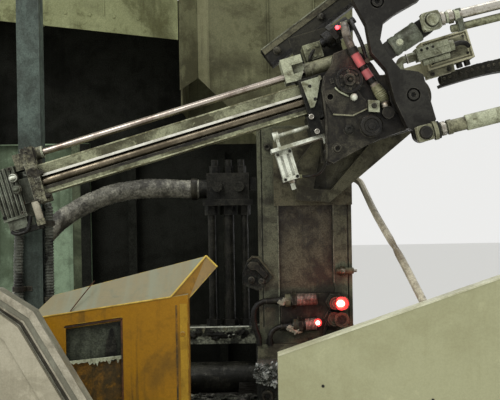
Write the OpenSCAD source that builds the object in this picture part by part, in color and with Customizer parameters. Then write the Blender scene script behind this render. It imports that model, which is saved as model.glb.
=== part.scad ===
// Compact cold-chamber die casting machine with its mast-mounted take-out arm.
// Millimetres. The machine's length runs along X, Z is up, and the operator stands at -Y.

/* [Bed] */
// Length of the welded bed
bed_l = 1400; // [1300:10:1500]
// Front edge of the bed, towards the operator
bed_front = 400; // [390:5:420]
// Rear edge of the bed
bed_rear = 600; // [590:5:620]
// Height of the bed's top plate above the floor
bed_h = 420; // [380:5:450]
// Height of the levelling feet
foot_h = 60; // [40:5:80]

/* [Clamp] */
// Thickness of the fixed platen
platen_t = 200; // [180:5:205]
// Width of both platens across the machine
platen_w = 600; // [560:10:620]
// Height of the fixed platen's top above the floor
platen_top = 1200; // [1180:5:1205]
// Diameter of the four tie bars
tie_bar_d = 80; // [60:5:90]
// Distance between tie bars across the machine
tie_pitch_y = 430; // [400:5:440]
// Distance between tie bars in height
tie_pitch_z = 560; // [520:5:580]
// Gap between the two open die halves
die_gap = 128; // [80:4:140]

/* [Mast] */
// Width of the mast's front
mast_w = 177; // [160:1:180]
// Depth of the mast
mast_d = 150; // [130:5:150]
// Height of the mast above its foot plate
mast_h = 412; // [400:4:420]
// Thickness of the mast's foot plate
mast_foot_t = 28; // [20:1:32]

/* [Take-out arm] */
// Angle of the arm above the horizontal at rest
arm_tilt = 16; // [12:1:20]
// Distance from the pivot to the arm's end plate
arm_reach = 622; // [560:2:640]
// Height of the guide beam's section
beam_h = 50; // [44:1:52]
// Depth of the guide beam's section
beam_d = 40; // [36:1:42]
// Diameter of the upper guide rod
top_rod_d = 12; // [10:0.5:13]
// Diameter of the shaft that lies in the beam's groove
beam_shaft_d = 16; // [12:1:18]
// Stroke of the arm through the swing head
stroke = 90; // [60:5:90]
// Diameter of the pivot shaft
pivot_d = 40; // [34:1:42]

/* [Linkage] */
// Distance between the two cranks of the parallel linkage
crank_span = 330; // [310:5:340]
// Rise of the link rods above the horizontal
rod_rise = 13; // [8:1:16]
// Diameter of the upper link rod
upper_rod_d = 16; // [12:1:18]
// Diameter of the lower link rod
lower_rod_d = 21; // [16:1:24]

/* [Guards] */
// Thickness of the folded guard sheets
sheet_t = 3; // [2:0.5:4]
// Depth of the yellow splash guard
splash_d = 40; // [34:2:42]
// Depth of the cream guard panel's folded edge
panel_d = 28; // [20:1:28]
// Width of the square posts of the canopy
post_w = 40; // [36:1:44]
// Height of the canopy
canopy_h = 2280; // [2240:10:2320]

/* [Hidden] */
$fn = 48;
e = 0.01;

// Clearances
run = 0.05;
air = 0.3;
seat = 0.2;

// Places of the clamp
platen_x = 8;
platen_y0 = -60;
tie_y = platen_y0 + platen_w / 2;
tie_z = 800;
nut_d = tie_bar_d + 50;
nut_t = 55;
fixed_die_t = 130;
moving_die_t = 130;
moving_platen_t = 180;
fixed_die_x = platen_x - fixed_die_t;
moving_die_x = fixed_die_x - die_gap - moving_die_t;
moving_platen_x = moving_die_x - moving_platen_t;
shot_z = 720;

// Places of the arm
pivot_x = 263;
pivot_z = 1663;
arm_y = -200;
beam_c = 51;
beam_end = 122;
beam_l = arm_reach - beam_end;
lock_bar_z = -20;
rod_c = beam_c + 46;
upper_pin = [55, 101];
lower_pin = [-5, -64];
column_w = 100;
link_y = -310;
link_t = 30;
rod_y = -342;
rod_eye_t = 22;
pin_r = 6;
head_front_y = -270;
head_rear_y = -140;
head_plate_t = 30;
rear_plate_t = 20;
mast_x = 15;

// Places of the guards
splash_y = -320;
panel_y = -430;
cabinet_y = -600;
cabinet_d = 200 - seat;
post_y = -120;
post_air = 5.5;
wall_y = platen_y0 + platen_w + 50.5;

function swung(p) = [pivot_x + p[0] * cos(arm_tilt) - p[1] * sin(arm_tilt),
    pivot_z + p[0] * sin(arm_tilt) + p[1] * cos(arm_tilt)];
function across(p) = [p[0] + crank_span * cos(rod_rise), p[1] + crank_span * sin(rod_rise)];
upper_pin_w = swung(upper_pin);
lower_pin_w = swung(lower_pin);
rocker_w = across([pivot_x, pivot_z]);

// A tube swept along a smooth curve through the given points
function spline(p, i, t) = let (
    a = p[max(i - 1, 0)], b = p[i], c = p[i + 1], d = p[min(i + 2, len(p) - 1)])
    0.5 * (2 * b + (c - a) * t + (2 * a - 5 * b + 4 * c - d) * t * t
        + (3 * b - a - 3 * c + d) * t * t * t);
function route(p, n) = [for (i = [0 : len(p) - 2]) for (k = [0 : n - 1]) spline(p, i, k / n),
    p[len(p) - 1]];
function unit(v) = v / norm(v);
function side_of(t) = let (s = cross(t, abs(t[1]) < 0.9 ? [0, 1, 0] : [1, 0, 0])) unit(s);
function ring(c, t, r, m) = let (s = side_of(t), u = cross(s, t))
    [for (k = [0 : m - 1]) c + r * (cos(360 * k / m) * s + sin(360 * k / m) * u)];
module swept_tube(points, r, n = 4, m = 8) {
    path = route(points, n);
    last = len(path) - 1;
    rings = [for (i = [0 : last])
        ring(path[i], unit(path[min(i + 1, last)] - path[max(i - 1, 0)]), r, m)];
    verts = [for (q = rings) for (v = q) v];
    sides = [for (i = [0 : last - 1]) for (k = [0 : m - 1])
        let (j = (k + 1) % m) [i * m + k, i * m + j, (i + 1) * m + j, (i + 1) * m + k]];
    start = [for (k = [0 : m - 1]) m - 1 - k];
    end = [for (k = [0 : m - 1]) last * m + k];
    polyhedron(verts, concat([start], sides, [end]));
}

// A box given by two opposite corners
module span(a, b) {
    translate([min(a[0], b[0]), min(a[1], b[1]), min(a[2], b[2])])
        cube([abs(b[0] - a[0]), abs(b[1] - a[1]), abs(b[2] - a[2])]);
}

// A flat outline in X and Z, given its depth along Y
module plate_y(y0, depth) {
    translate([0, y0 + depth, 0]) rotate([90, 0, 0]) linear_extrude(depth) children();
}

// A round bar along Y, or along X
module bar_y(x, z, y0, y1, r) {
    translate([x, y0, z]) rotate([-90, 0, 0]) cylinder(h = y1 - y0, r = r);
}
module bar_x(y, z, x0, x1, r) {
    translate([x0, y, z]) rotate([0, 90, 0]) cylinder(h = x1 - x0, r = r);
}

// A strap with round ends between two points of an outline
module strap(p, q, r) {
    turn = atan2(q[1] - p[1], q[0] - p[0]);
    steps = 12;
    polygon([for (k = [0 : steps]) q + r * [cos(turn - 90 + 180 * k / steps),
            sin(turn - 90 + 180 * k / steps)],
        for (k = [0 : steps]) p + r * [cos(turn + 90 + 180 * k / steps),
            sin(turn + 90 + 180 * k / steps)]]);
}

// The frame of the swing head: origin at the pivot, X along the arm, Z square to it
module on_swing() {
    translate([pivot_x, 0, pivot_z]) rotate([0, -arm_tilt, 0]) children();
}

// Bed and clamp

module levelling_foot(x, y) {
    translate([x, y, 0]) {
        cylinder(h = 14, r = 48);
        cylinder(h = foot_h + 10, r = 16);
        translate([0, 0, 24]) cylinder(h = 16, r = 30, $fn = 6);
    }
}

module bed() {
    rail = 120;
    half = bed_l / 2;
    color("darkseagreen") difference() {
        union() {
            span([-half, -bed_front, foot_h], [half, rail - bed_front, bed_h - 20]);
            span([-half, bed_rear - rail, foot_h], [half, bed_rear, bed_h - 20]);
            for (x = [-half, -half / 3 - 50, half / 3 - 50, half - 100])
                span([x, -bed_front, foot_h + 40], [x + 100, bed_rear, bed_h - 20]);
            span([-half, -bed_front, bed_h - 20], [half, bed_rear, bed_h]);
            for (x = [-half + 90, 0, half - 90]) for (y = [60 - bed_front, bed_rear - 60])
                levelling_foot(x, y);
        }
        span([fixed_die_x - die_gap, 60, bed_h - 60], [fixed_die_x + 40, 420, bed_h + 1]);
        for (x = [-half + 160 : 240 : half - 200])
            span([x, -bed_front - 1, foot_h + 60], [x + 150, rail - bed_front - 30, bed_h - 70]);
    }
}

module platen_outline(x0, t, z0, z1) {
    corner = 40;
    translate([x0, platen_y0, z0]) rotate([90, 0, 90]) linear_extrude(t)
        union() {
            translate([corner, 0]) square([platen_w - 2 * corner, z1 - z0]);
            translate([0, 0]) square([platen_w, z1 - z0 - corner]);
            for (y = [corner, platen_w - corner])
                translate([y, z1 - z0 - corner]) circle(corner);
        }
}

module tie_holes(x0, t) {
    for (sy = [-1, 1]) for (sz = [-1, 1])
        bar_x(tie_y + sy * tie_pitch_y / 2, tie_z + sz * tie_pitch_z / 2,
            x0 - 1, x0 + t + 1, tie_bar_d / 2 + air);
}

module platen_pockets(x0, t) {
    pocket = t - 70;
    for (z = [500, 720, 940])
        for (y = [platen_y0 - 1, platen_y0 + platen_w - 24])
            span([x0 + 35, y, z], [x0 + 35 + pocket, y + 25, z + 180]);
}

module fixed_platen() {
    color("dimgray") difference() {
        platen_outline(platen_x, platen_t, bed_h, platen_top);
        tie_holes(platen_x, platen_t);
        platen_pockets(platen_x, platen_t);
        bar_x(tie_y, shot_z, platen_x - 1, platen_x + platen_t + 1, 45 + air);
        for (z = [560, 920, 1040])
            span([platen_x - 1, platen_y0 - 1, z], [platen_x + 22, platen_y0 + platen_w + 1, z + 18]);
    }
}

module moving_platen() {
    color("dimgray") difference() {
        union() {
            platen_outline(moving_platen_x, moving_platen_t, bed_h + 25, platen_top - 20);
            for (y = [platen_y0 + 20, platen_y0 + platen_w - 120])
                span([moving_platen_x - 30, y, bed_h], [moving_platen_x + moving_platen_t + 30,
                    y + 100, bed_h + 26]);
        }
        tie_holes(moving_platen_x, moving_platen_t);
        platen_pockets(moving_platen_x, moving_platen_t);
        for (z = [560, 920, 1040])
            span([moving_die_x - 22, platen_y0 - 1, z],
                [moving_die_x + 1, platen_y0 + platen_w + 1, z + 18]);
    }
}

module tie_bars() {
    left = moving_platen_x - nut_t - 12;
    right = platen_x + platen_t;
    color("silver") for (sy = [-1, 1]) for (sz = [-1, 1]) {
        y = tie_y + sy * tie_pitch_y / 2;
        z = tie_z + sz * tie_pitch_z / 2;
        bar_x(y, z, left - 12, right + nut_t + 14, tie_bar_d / 2);
        for (x = [left, right + 1])
            translate([x, y, z]) rotate([0, 90, 0]) cylinder(h = nut_t, d = nut_d, $fn = 12);
    }
}

module die_half(x0, t, flange_at) {
    span([x0, 90, 540], [x0 + t, 390, 1060]);
    span([flange_at, 76, 520], [flange_at + 40, 404, 1080]);
}

module fixed_die() {
    color("slategray") difference() {
        die_half(fixed_die_x, fixed_die_t, fixed_die_x + fixed_die_t - 40);
        span([fixed_die_x - 1, 160, 720], [fixed_die_x + 34, 320, 940]);
        bar_x(tie_y, shot_z, fixed_die_x - 1, platen_x + 1, 45 + air);
        for (y = [115, 365]) for (z = [575, 1025])
            bar_x(y, z, fixed_die_x - 1, fixed_die_x + 80, 12);
    }
}

module moving_die() {
    color("slategray") difference() {
        union() {
            die_half(moving_die_x, moving_die_t, moving_die_x);
            for (y = [115, 365]) for (z = [575, 1025])
                bar_x(y, z, moving_die_x + moving_die_t - 5, moving_die_x + moving_die_t + 50, 11.5);
        }
        span([moving_die_x + moving_die_t - 30, 160, 720],
            [moving_die_x + moving_die_t + 1, 320, 940]);
    }
}

module shot_frame() {
    x0 = platen_x + platen_t;
    x1 = bed_l / 2 - 180;
    color("darkseagreen") {
        for (s = [-1, 1])
            span([x0, tie_y - 60, shot_z + s * 150 - 35], [x1, tie_y + 60, shot_z + s * 150 + 35]);
        difference() {
            span([x1, tie_y - 110, shot_z - 200], [x1 + 40, tie_y + 110, shot_z + 200]);
            bar_x(tie_y, shot_z, x1 - 1, x1 + 41, 26);
        }
        span([x1 - 40, tie_y - 40, bed_h], [x1 + 40, tie_y + 40, shot_z - 180]);
    }
}

module shot_sleeve() {
    x1 = platen_x + platen_t + 150;
    color("dimgray") difference() {
        union() {
            bar_x(tie_y, shot_z, fixed_die_x + 30, x1, 45);
            bar_x(tie_y, shot_z, platen_x + platen_t + 1, platen_x + platen_t + 26, 68);
        }
        bar_x(tie_y, shot_z, fixed_die_x + 29, x1 + 1, 30);
        span([x1 - 100, tie_y - 24, shot_z + 5], [x1 - 30, tie_y + 24, shot_z + 60]);
    }
}

module shot_cylinder() {
    x1 = bed_l / 2 - 140;
    color("steelblue") {
        bar_x(tie_y, shot_z, x1, bed_l / 2, 78);
        bar_x(tie_y, shot_z, x1, x1 + 24, 95);
        bar_x(tie_y, shot_z, bed_l / 2 - 24, bed_l / 2, 95);
    }
    color("silver") {
        bar_x(tie_y, shot_z, platen_x + platen_t + 60, x1 + 5, 20);
        bar_x(tie_y, shot_z, platen_x + platen_t + 20, platen_x + platen_t + 62, 29.5);
    }
}

// Mast and what it carries

module mast() {
    z0 = platen_top;
    rail_l = 38;
    rail_r = 34;
    right = mast_x + mast_w;
    color("gray") difference() {
        union() {
            span([mast_x, 0, z0 + mast_foot_t - e], [right, mast_d, z0 + mast_foot_t + mast_h]);
            span([mast_x - 5, -18, z0], [right + 5, mast_d, z0 + mast_foot_t]);
        }
        span([mast_x + rail_l, -1, z0 + mast_foot_t + 22],
            [right - rail_r, 12, z0 + mast_foot_t + mast_h - 20]);
        span([mast_x + rail_l, 22, z0 - 1], [right - rail_r, mast_d - 12,
            z0 + mast_foot_t + mast_h - 12]);
        span([mast_x + 6, -1, z0 + mast_foot_t + 30], [mast_x + 9, 6, z0 + mast_foot_t + mast_h + 1]);
        span([right - 9, -1, z0 + mast_foot_t + 30], [right - 6, 6, z0 + mast_foot_t + mast_h + 1]);
        for (z = [z0 + mast_foot_t + 180, z0 + mast_foot_t + 330])
            bar_x(mast_d / 2, z, right - rail_r - 3, right + 1, 17);
    }
}

module mast_bracket() {
    foot = [mast_x + 70, pivot_z - 165];
    color("gray") difference() {
        union() {
            plate_y(-18, 18 - air) polygon([[mast_x + 30, foot[1] - 10], [mast_x + mast_w, foot[1] - 10],
                [mast_x + mast_w, pivot_z - 30], [mast_x + 30, pivot_z - 30]]);
            plate_y(-88, 71) polygon([foot, [foot[0] + 60, foot[1] - 4],
                [pivot_x + 32, pivot_z - 46], [pivot_x - 20, pivot_z + 34],
                [foot[0] + 30, pivot_z - 62], [foot[0], pivot_z - 100]]);
            bar_y(pivot_x, pivot_z, -110, -17, 46);
        }
        bar_y(pivot_x, pivot_z, -111, -16, pivot_d / 2 + run);
        plate_y(-89, 20) polygon([[foot[0] + 30, foot[1] + 20], [foot[0] + 62, foot[1] + 18],
            [pivot_x - 42, pivot_z - 62], [pivot_x - 58, pivot_z - 30], [foot[0] + 42, pivot_z - 86]]);
    }
}

module sensor(x, z, y0, l, r, nose) {
    bar_y(x, z, y0, y0 + l, r);
    bar_y(x, z, y0 - nose, y0 + e, r * 0.62);
    for (y = [y0 + l * 0.55, y0 + l * 0.8])
        translate([x, y, z]) rotate([-90, 0, 0]) cylinder(h = l * 0.14, r = r * 1.45, $fn = 6);
}

module proximity_sensors() {
    z0 = platen_top + mast_foot_t;
    shelf = mast_x + 40;
    color("darkslategray") {
        span([shelf, -8, z0 + 22], [mast_x + mast_w - 34.3, 11.7, z0 + 94]);
        span([mast_x + mast_w - 36, -8, z0 + 22], [mast_x + mast_w - 24, -0.3, z0 + 94]);
        translate([shelf + 6, -18, z0 + 82]) rotate([0, 88, 0]) {
            cylinder(h = 62, r = 11);
            translate([0, 0, -34]) cylinder(h = 36, r = 6);
            translate([0, 0, 14]) cylinder(h = 8, r = 16, $fn = 6);
        }
        translate([shelf + 22, -18, z0 + 34]) rotate([0, 86, 0]) {
            cylinder(h = 46, r = 11);
            translate([0, 0, -22]) cylinder(h = 24, r = 6);
            translate([0, 0, 10]) cylinder(h = 8, r = 16, $fn = 6);
        }
        sensor(mast_x + mast_w - 36, z0 + 78, -52, 46, 12, 3);
        sensor(mast_x + mast_w - 38, z0 + 48, -44, 38, 13, 2);
    }
}

module pipe_rail() {
    y0 = mast_d + 2;
    color("dimgray") {
        span([-bed_l / 2 + 50, y0, platen_top + 6], [platen_x + platen_t, y0 + 38, platen_top + 41]);
        span([platen_x + 12, y0, platen_top], [platen_x + platen_t - 12, y0 + 38, platen_top + 7]);
        span([-bed_l / 2 + 50, y0, bed_h], [-bed_l / 2 + 88, y0 + 38, platen_top + 7]);
        span([-bed_l / 2 + 20, y0 - 20, bed_h], [-bed_l / 2 + 118, y0 + 58, bed_h + 14]);
    }
}

module standpipes() {
    y = mast_d + 21;
    z0 = platen_top + 41;
    color("darkslategray") for (p = [[-80, 8], [-45, 11], [-12, 7]]) {
        translate([p[0], y, z0]) cylinder(h = 1490 - z0, r = p[1]);
        translate([p[0], y, z0]) cylinder(h = 14, r = p[1] + 6, $fn = 6);
        translate([p[0], y, 1470]) cylinder(h = 20, r = p[1] + 6, $fn = 6);
    }
}

module manifold() {
    y = mast_d + 21;
    color("darkslategray") {
        span([-96, y - 34, 1490], [6, y + 34, 1502]);
        span([-88, y - 28, 1502], [-2, y + 28, 1556]);
        for (x = [-72, -44, -18]) {
            translate([x, y, 1555]) cylinder(h = 16, r = 11, $fn = 6);
            translate([x, y, 1570]) cylinder(h = 14, r = 7);
        }
        for (x = [-66, -22]) bar_y(x, 1528, y - 48, y - 27, 10);
        bar_x(y - 10, 1524, -104, -87, 19);
        for (x = [0, 8]) span([x - 3, y - 20, 1520], [x + 5, y + 20, 1546]);
    }
}

hose_r = 20;
hose_x = -471;
hose_y = mast_d + 11;
hose_port_z = 1524;
hose_foot_y = hose_y - 40;
hose_foot_z = platen_top - 20;
hose_nut_h = 34;
module core_hose() {
    color("black") swept_tube([[-104 - air, hose_y, hose_port_z], [-114, hose_y, hose_port_z],
        [-126, hose_y, hose_port_z], [-174, hose_y - 1, 1527], [-225, hose_y - 5, 1526],
        [-286, hose_y - 12, 1516], [-345, hose_y - 24, 1491], [-394, hose_y - 33, 1457],
        [-434, hose_y - 38, 1406], [-460, hose_foot_y, 1340], [-470, hose_foot_y, 1270],
        [hose_x, hose_foot_y, 1240], [hose_x, hose_foot_y, hose_foot_z + hose_nut_h + 12],
        [hose_x, hose_foot_y, hose_foot_z + hose_nut_h + air]], hose_r, 4, 12);
}

// Hex fitting that takes the core hose into the platen's edge.
module hose_foot() {
    color("olive") translate([hose_x, hose_foot_y, hose_foot_z])
        cylinder(h = hose_nut_h, r = hose_r + 6, $fn = 6);
}

// Guards, cabinet and canopy

splash_x0 = -352;
splash_x1 = -101;
splash_z0 = 1319;
splash_slope = 33 / 249;

module splash_top(x0, x1, low, drop) {
    polygon([[x0, low], [x1, low],
        [x1, splash_z0 - drop + (x1 - splash_x0) * splash_slope],
        [x0, splash_z0 - drop + (x0 - splash_x0) * splash_slope]]);
}

module splash_guard() {
    lip_t = 20;
    back = splash_d + 26;
    color("goldenrod") {
        difference() {
            plate_y(splash_y, splash_d) splash_top(splash_x0, splash_x1, bed_h, 0);
            plate_y(splash_y + sheet_t, splash_d + 1)
                splash_top(splash_x0 + 26, splash_x1 - 26, bed_h + 30, 26);
            plate_y(splash_y - 1, sheet_t + 2) splash_top(-296, -206, 1096, 20);
        }
        translate([0, splash_y, 0]) polyhedron([
            [splash_x0, 0, splash_z0], [splash_x1 - 27, 0, splash_z0 + 30],
            [splash_x1 + 27, back, splash_z0 + 90], [splash_x0 + 26, back, splash_z0 + 30],
            [splash_x0, lip_t, splash_z0 - 16], [splash_x1, lip_t, splash_z0 + 24],
            [splash_x1 + 45, back, splash_z0 + 72], [splash_x0 + 26, back, splash_z0 + 12]],
            [[0, 3, 2, 1], [4, 5, 6, 7], [0, 1, 5, 4], [1, 2, 6, 5], [2, 3, 7, 6], [3, 0, 4, 7]]);
    }
}

module splash_window() {
    color("darkgoldenrod") plate_y(splash_y + sheet_t + 6, 4) union() {
        polygon([[splash_x0 + 26.3, 1060], [splash_x1 - 26.3, 1060], [splash_x1 - 26.3, 1252],
            [-212, 1251], [-222, 1247.5], [-240, 1250], [-262, 1246], [-282, 1247],
            [splash_x0 + 26.3, 1243]]);
    }
}

panel_x0 = 37;
panel_x1 = 640;
panel_z0 = 1271;
panel_slope = 108 / 328.5;
module panel_outline(inset) {
    polygon([[panel_x0 + inset, 30 + inset], [panel_x1 - inset, 30 + inset],
        [panel_x1 - inset, panel_z0 + (panel_x1 - panel_x0) * panel_slope - inset * 1.2],
        [panel_x0 + inset, panel_z0 - inset * 1.2]]);
}

module right_guard() {
    color("palegoldenrod") {
        difference() {
            plate_y(panel_y, panel_d) panel_outline(0);
            plate_y(panel_y + sheet_t, panel_d) panel_outline(14);
        }
        for (x = [panel_x0 + 190, panel_x1 - 190])
            span([x, panel_y + sheet_t, 120], [x + 30, panel_y + panel_d, 1200]);
        for (x = [panel_x0 + 6, panel_x1 - 46]) for (z = [130, 300])
            span([x, panel_y + panel_d - 1, z], [x + 40, -bed_front, z + 40]);
    }
}

cabinet_x0 = -bed_l / 2;
cabinet_x1 = -150;
module cabinet_outline(inset, base) {
    polygon([[cabinet_x0 + inset, base], [cabinet_x1 - inset, base],
        [cabinet_x1 - inset, 1125 - inset * 0.5], [-286 - inset * 0.8, 1359 - inset * 0.8],
        [-332 - inset * 0.3, 1389 - inset], [cabinet_x0 + inset, 1389 - inset]]);
}

module side_cabinet() {
    frame_t = 30;
    groove = 17;
    color("tan") difference() {
        union() {
            plate_y(cabinet_y + 8, frame_t) cabinet_outline(0, 0);
            plate_y(cabinet_y + 8, cabinet_d - 8) cabinet_outline(52, 0);
        }
        plate_y(cabinet_y + 7, 11) difference() {
            cabinet_outline(groove, groove);
            cabinet_outline(groove + 5, groove + 5);
        }
    }
}

module cabinet_door() {
    rim = 24;
    face = 46;
    color("linen") {
        plate_y(cabinet_y, 8) difference() {
            cabinet_outline(rim, rim);
            cabinet_outline(face, face);
        }
        plate_y(cabinet_y + sheet_t, 8 - sheet_t) cabinet_outline(face - 1, face - 1);
        for (z = [300, 1050]) bar_y(cabinet_x0 + rim + 10, z, cabinet_y, cabinet_y + 8, 9);
    }
}

module post(x, y) {
    difference() {
        union() {
            span([x - post_w / 2, y, bed_h], [x + post_w / 2, y + post_w, canopy_h - post_w - seat]);
            span([x - post_w / 2, y - 30, bed_h], [x + post_w / 2, y + post_w + 30, bed_h + 10]);
        }
        span([x - post_w / 2 + 3, y + 3, bed_h - 1], [x + post_w / 2 - 3, y + post_w - 3,
            canopy_h - post_w]);
    }
}

post_left_x = -391;
post_right_x = rocker_w[0] + column_w / 2 + post_w / 2 + post_air;
post_rear_y = bed_rear - post_w - 34;
module front_left_post() {
    color("cadetblue") post(post_left_x, post_y);
}

module front_right_post() {
    color("cadetblue") post(post_right_x, post_y);
}

module rear_posts() {
    color("cadetblue") for (x = [-post_right_x, post_right_x]) post(x, post_rear_y);
}

module roof_frame() {
    half = post_right_x + post_w / 2;
    z0 = canopy_h - post_w;
    color("cadetblue") {
        for (y = [post_y, post_rear_y]) span([-half, y, z0], [half, y + post_w, canopy_h]);
        for (x = [-half, half - post_w, post_left_x - post_w / 2])
            span([x, post_y + 1, z0], [x + post_w, post_rear_y + 1, canopy_h]);
    }
}

hood_y = 330;
hood_top = canopy_h - post_w - seat;
hood_x0 = -640;
hood_x1 = 240;
notch = [[-154, 1860], [-154, 1748], [-113, 1779], [-41, 1708]];

module hood_skirt() {
    back = wall_y - seat;
    fold_x = -457;
    color("darkkhaki") {
        plate_y(hood_y, sheet_t) polygon([[hood_x0, 1920], [fold_x, 1898], notch[0],
            [notch[0][0], hood_top], [hood_x0, hood_top]]);
        span([hood_x0, hood_y + sheet_t - e, 1930], [hood_x0 + sheet_t, back, hood_top]);
        span([hood_x0, hood_y, hood_top - 4], [notch[0][0], back, hood_top]);
        span([fold_x - sheet_t, hood_y + sheet_t - e, 1900], [fold_x, hood_y + 30, hood_top]);
    }
}

duct_z0 = 1640;
module hood_duct() {
    side = notch[0][0] + 4;
    corner = notch[2][0];
    top = hood_top;
    back = wall_y - seat;
    set_back = 40;
    slant = norm([corner - side, set_back]);
    color("darkkhaki") {
        plate_y(hood_y + set_back, sheet_t) polygon([[corner - 3, notch[2][1]],
            [corner, notch[2][1]], notch[3], [20, duct_z0], [hood_x1, duct_z0], [hood_x1, top],
            [corner - 3, top]]);
        translate([side, hood_y, 0]) rotate([0, 0, atan2(set_back, corner - side)])
            translate([0, sheet_t, 0]) rotate([90, 0, 0]) linear_extrude(sheet_t)
                polygon([[0, notch[1][1]], [slant, notch[2][1]], [slant, top], [0, top]]);
        span([hood_x1 - sheet_t, hood_y + set_back, duct_z0], [hood_x1, back, top]);
        span([side, back - 3.3, duct_z0], [hood_x1, back, top]);
        span([side, hood_y + 2, 1700], [side + sheet_t, back, top]);
        for (x = [46, 150])
            span([x, hood_y + set_back - 4, duct_z0], [x + sheet_t, hood_y + set_back + 1, top]);
    }
}

wall_x0 = -638;
module rear_wall() {
    rib = 30;
    color("darkslategray") {
        span([wall_x0, wall_y, bed_h], [120, wall_y + 3.5, 2000]);
        for (x = [-300, -80, 100]) span([x, wall_y - rib, bed_h], [x + 20, wall_y + 0.1, 1620]);
    }
}

module rear_left_panel() {
    front = wall_y - 24.5;
    right = -392;
    top = 1646;
    fold = 20;
    color("darkseagreen") {
        span([wall_x0, front, bed_h], [right, front + sheet_t, top]);
        span([right - sheet_t, front - fold, bed_h], [right, front + 2, top]);
        span([wall_x0, front - fold, top - sheet_t], [right, front + 2, top]);
        for (x = [-600, -430]) span([x, front + 2, bed_h], [x + 12, wall_y - seat, 1600]);
    }
}

stay_x = 262;
stay_z = 1339;
module guard_stay() {
    on_mast = mast_x + mast_w + air;
    on_panel = panel_y + panel_d;
    color("gray") swept_tube([[on_mast, 60, 1538], [on_mast + 6.7, 60, 1538],
        [on_mast + 12.7, 60, 1538], [214, 40, 1530], [218, 0, 1513], [226, -100, 1470],
        [244, -250, 1406], [259, -350, 1352], [stay_x, on_panel + 24, stay_z],
        [stay_x, on_panel + 12, stay_z], [stay_x, on_panel + air, stay_z]], 6.5, 3, 8);
}

// Drive of the parallel linkage

module drive_column() {
    x = rocker_w[0];
    top = rocker_w[1] - 56;
    color("gray") {
        difference() {
            span([x - column_w / 2, -190, bed_h], [x + column_w / 2, -90, top]);
            span([x - column_w / 2 + 6, -184, bed_h - 1], [x + column_w / 2 - 6, -96, top - 10]);
        }
        span([x - column_w / 2, -230, bed_h], [x + column_w / 2, -50, bed_h + 16]);
        span([x - 54, -262, top - 12], [x + 54, -84, top]);
    }
}

module gear_motor() {
    color("dimgray") translate([rocker_w[0], 0, rocker_w[1]]) difference() {
        union() {
            span([-54, -272, -56], [54, -112, 52]);
            bar_y(0, 0, -280, -271, 40);
            bar_y(0, 0, -113, -98, 54);
            bar_y(0, 0, -99, 30, 46);
            for (k = [0 : 11]) rotate([0, k * 30, 0]) span([-1.5, -90, 40], [1.5, 20, 52]);
            bar_y(0, 0, 29, 48, 52);
            span([-24, -80, 44], [24, -20, 70]);
        }
        bar_y(0, 0, -281, -180, 15 + run);
    }
}

function chain_way(t) = [352 + 160 * t, 1712 + 50 * sin(75 * t) - 18 * t];
module cable_chain() {
    n = 16;
    high = 9.5;
    color("dimgray") {
        plate_y(-103, 34) polygon([for (k = [0 : n]) chain_way(k / n) + [0, high - 2 * (k % 2)],
            for (k = [n : -1 : 0]) chain_way(k / n) - [0, high - 2 * (k % 2)]]);
        plate_y(-106, 40) polygon([for (k = [0 : n / 2]) chain_way(2 * k / n) - [6, high],
            for (k = [n / 2 : -1 : 0]) chain_way(2 * k / n) - [4, high + 5]]);
        span([500, -106, 1640], [517, -98, 1741]);
        span([500, -106, 1640], [rocker_w[0] - column_w / 2 - seat, -98, 1668]);
    }
}

// Swing head

// Its cheeks, from the top left corner clockwise
head_outline = [[-98, 104], [-74, 106], [-54, 92], [-42, 70], [-36, 49], [2, 38], [29, 4], [26, -34], [6, -50],
    [-44, -50], [-80, -53], [-118, -60], [-150, -67], [-160, -58], [-150, -26], [-141, 8],
    [-137, 30], [-133, 54], [-124, 74], [-106, 88]];
// Bosses of the front cheek: x, z, radius and how far each stands out
head_bosses = [[-87, 55, 22, 11], [-87, 55, 10, 18], [-88, 26, 6, 9], [-74, -27, 18, 10],
    [-110, -22, 8, 8], [-42, -14, 10, 13], [-50, 76, 4.2, 12], [-138, -46, 8, 8]];

module swing_head() {
    front = head_front_y;
    inner = head_front_y + head_plate_t;
    rear = head_rear_y - rear_plate_t;
    color("darkslategray") on_swing() {
        difference() {
            union() {
                plate_y(front, head_plate_t) polygon(head_outline);
                plate_y(rear, rear_plate_t) polygon(head_outline);
                plate_y(inner - e, rear - inner + 2 * e) polygon([[-147, -56], [-147, 8], [-60, 8],
                    [-44, -20], [-50, -46], [-118, -56]]);
                bar_y(0, 0, link_y + link_t + seat, front + e, 34);
                bar_y(0, 0, head_rear_y - e, -110.8, 30);
                for (b = head_bosses) bar_y(b[0], b[1], front - b[3], front + e, b[2]);
                plate_y(front - 4, 4 + e) polygon([[-129, 60], [-133, 34], [-128, 9], [-98, -2],
                    [-72, 2], [-70, 14], [-78, 34], [-84, 60], [-104, 74], [-120, 74]]);
                plate_y(front - 12, 12 + e) polygon([[-71, -3], [-67, 14], [-51, 8], [-55, -9]]);
            }
            bar_y(0, 0, -285, -109, pivot_d / 2 + run);
            plate_y(front - 19, 12) translate([-87, 55]) circle(5, $fn = 6);
            bar_y(-124, 38, front - 5, front + 8, 5);
        }
    }
}

module link_outline() {
    polygon([[-48, 173], [-39, 130], [-42, 105], [-44, 83], [-29, 50], [-31, 0], [-24, -48],
        [-16, -55], [16, -55], [23, -48], [24, 26], [18, 33], [-8, 45], [-21, 76], [-25, 99],
        [-13, 123], [10, 132], [54, 142], [62, 176], [44, 226], [8, 244], [-28, 232]]);
}

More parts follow.
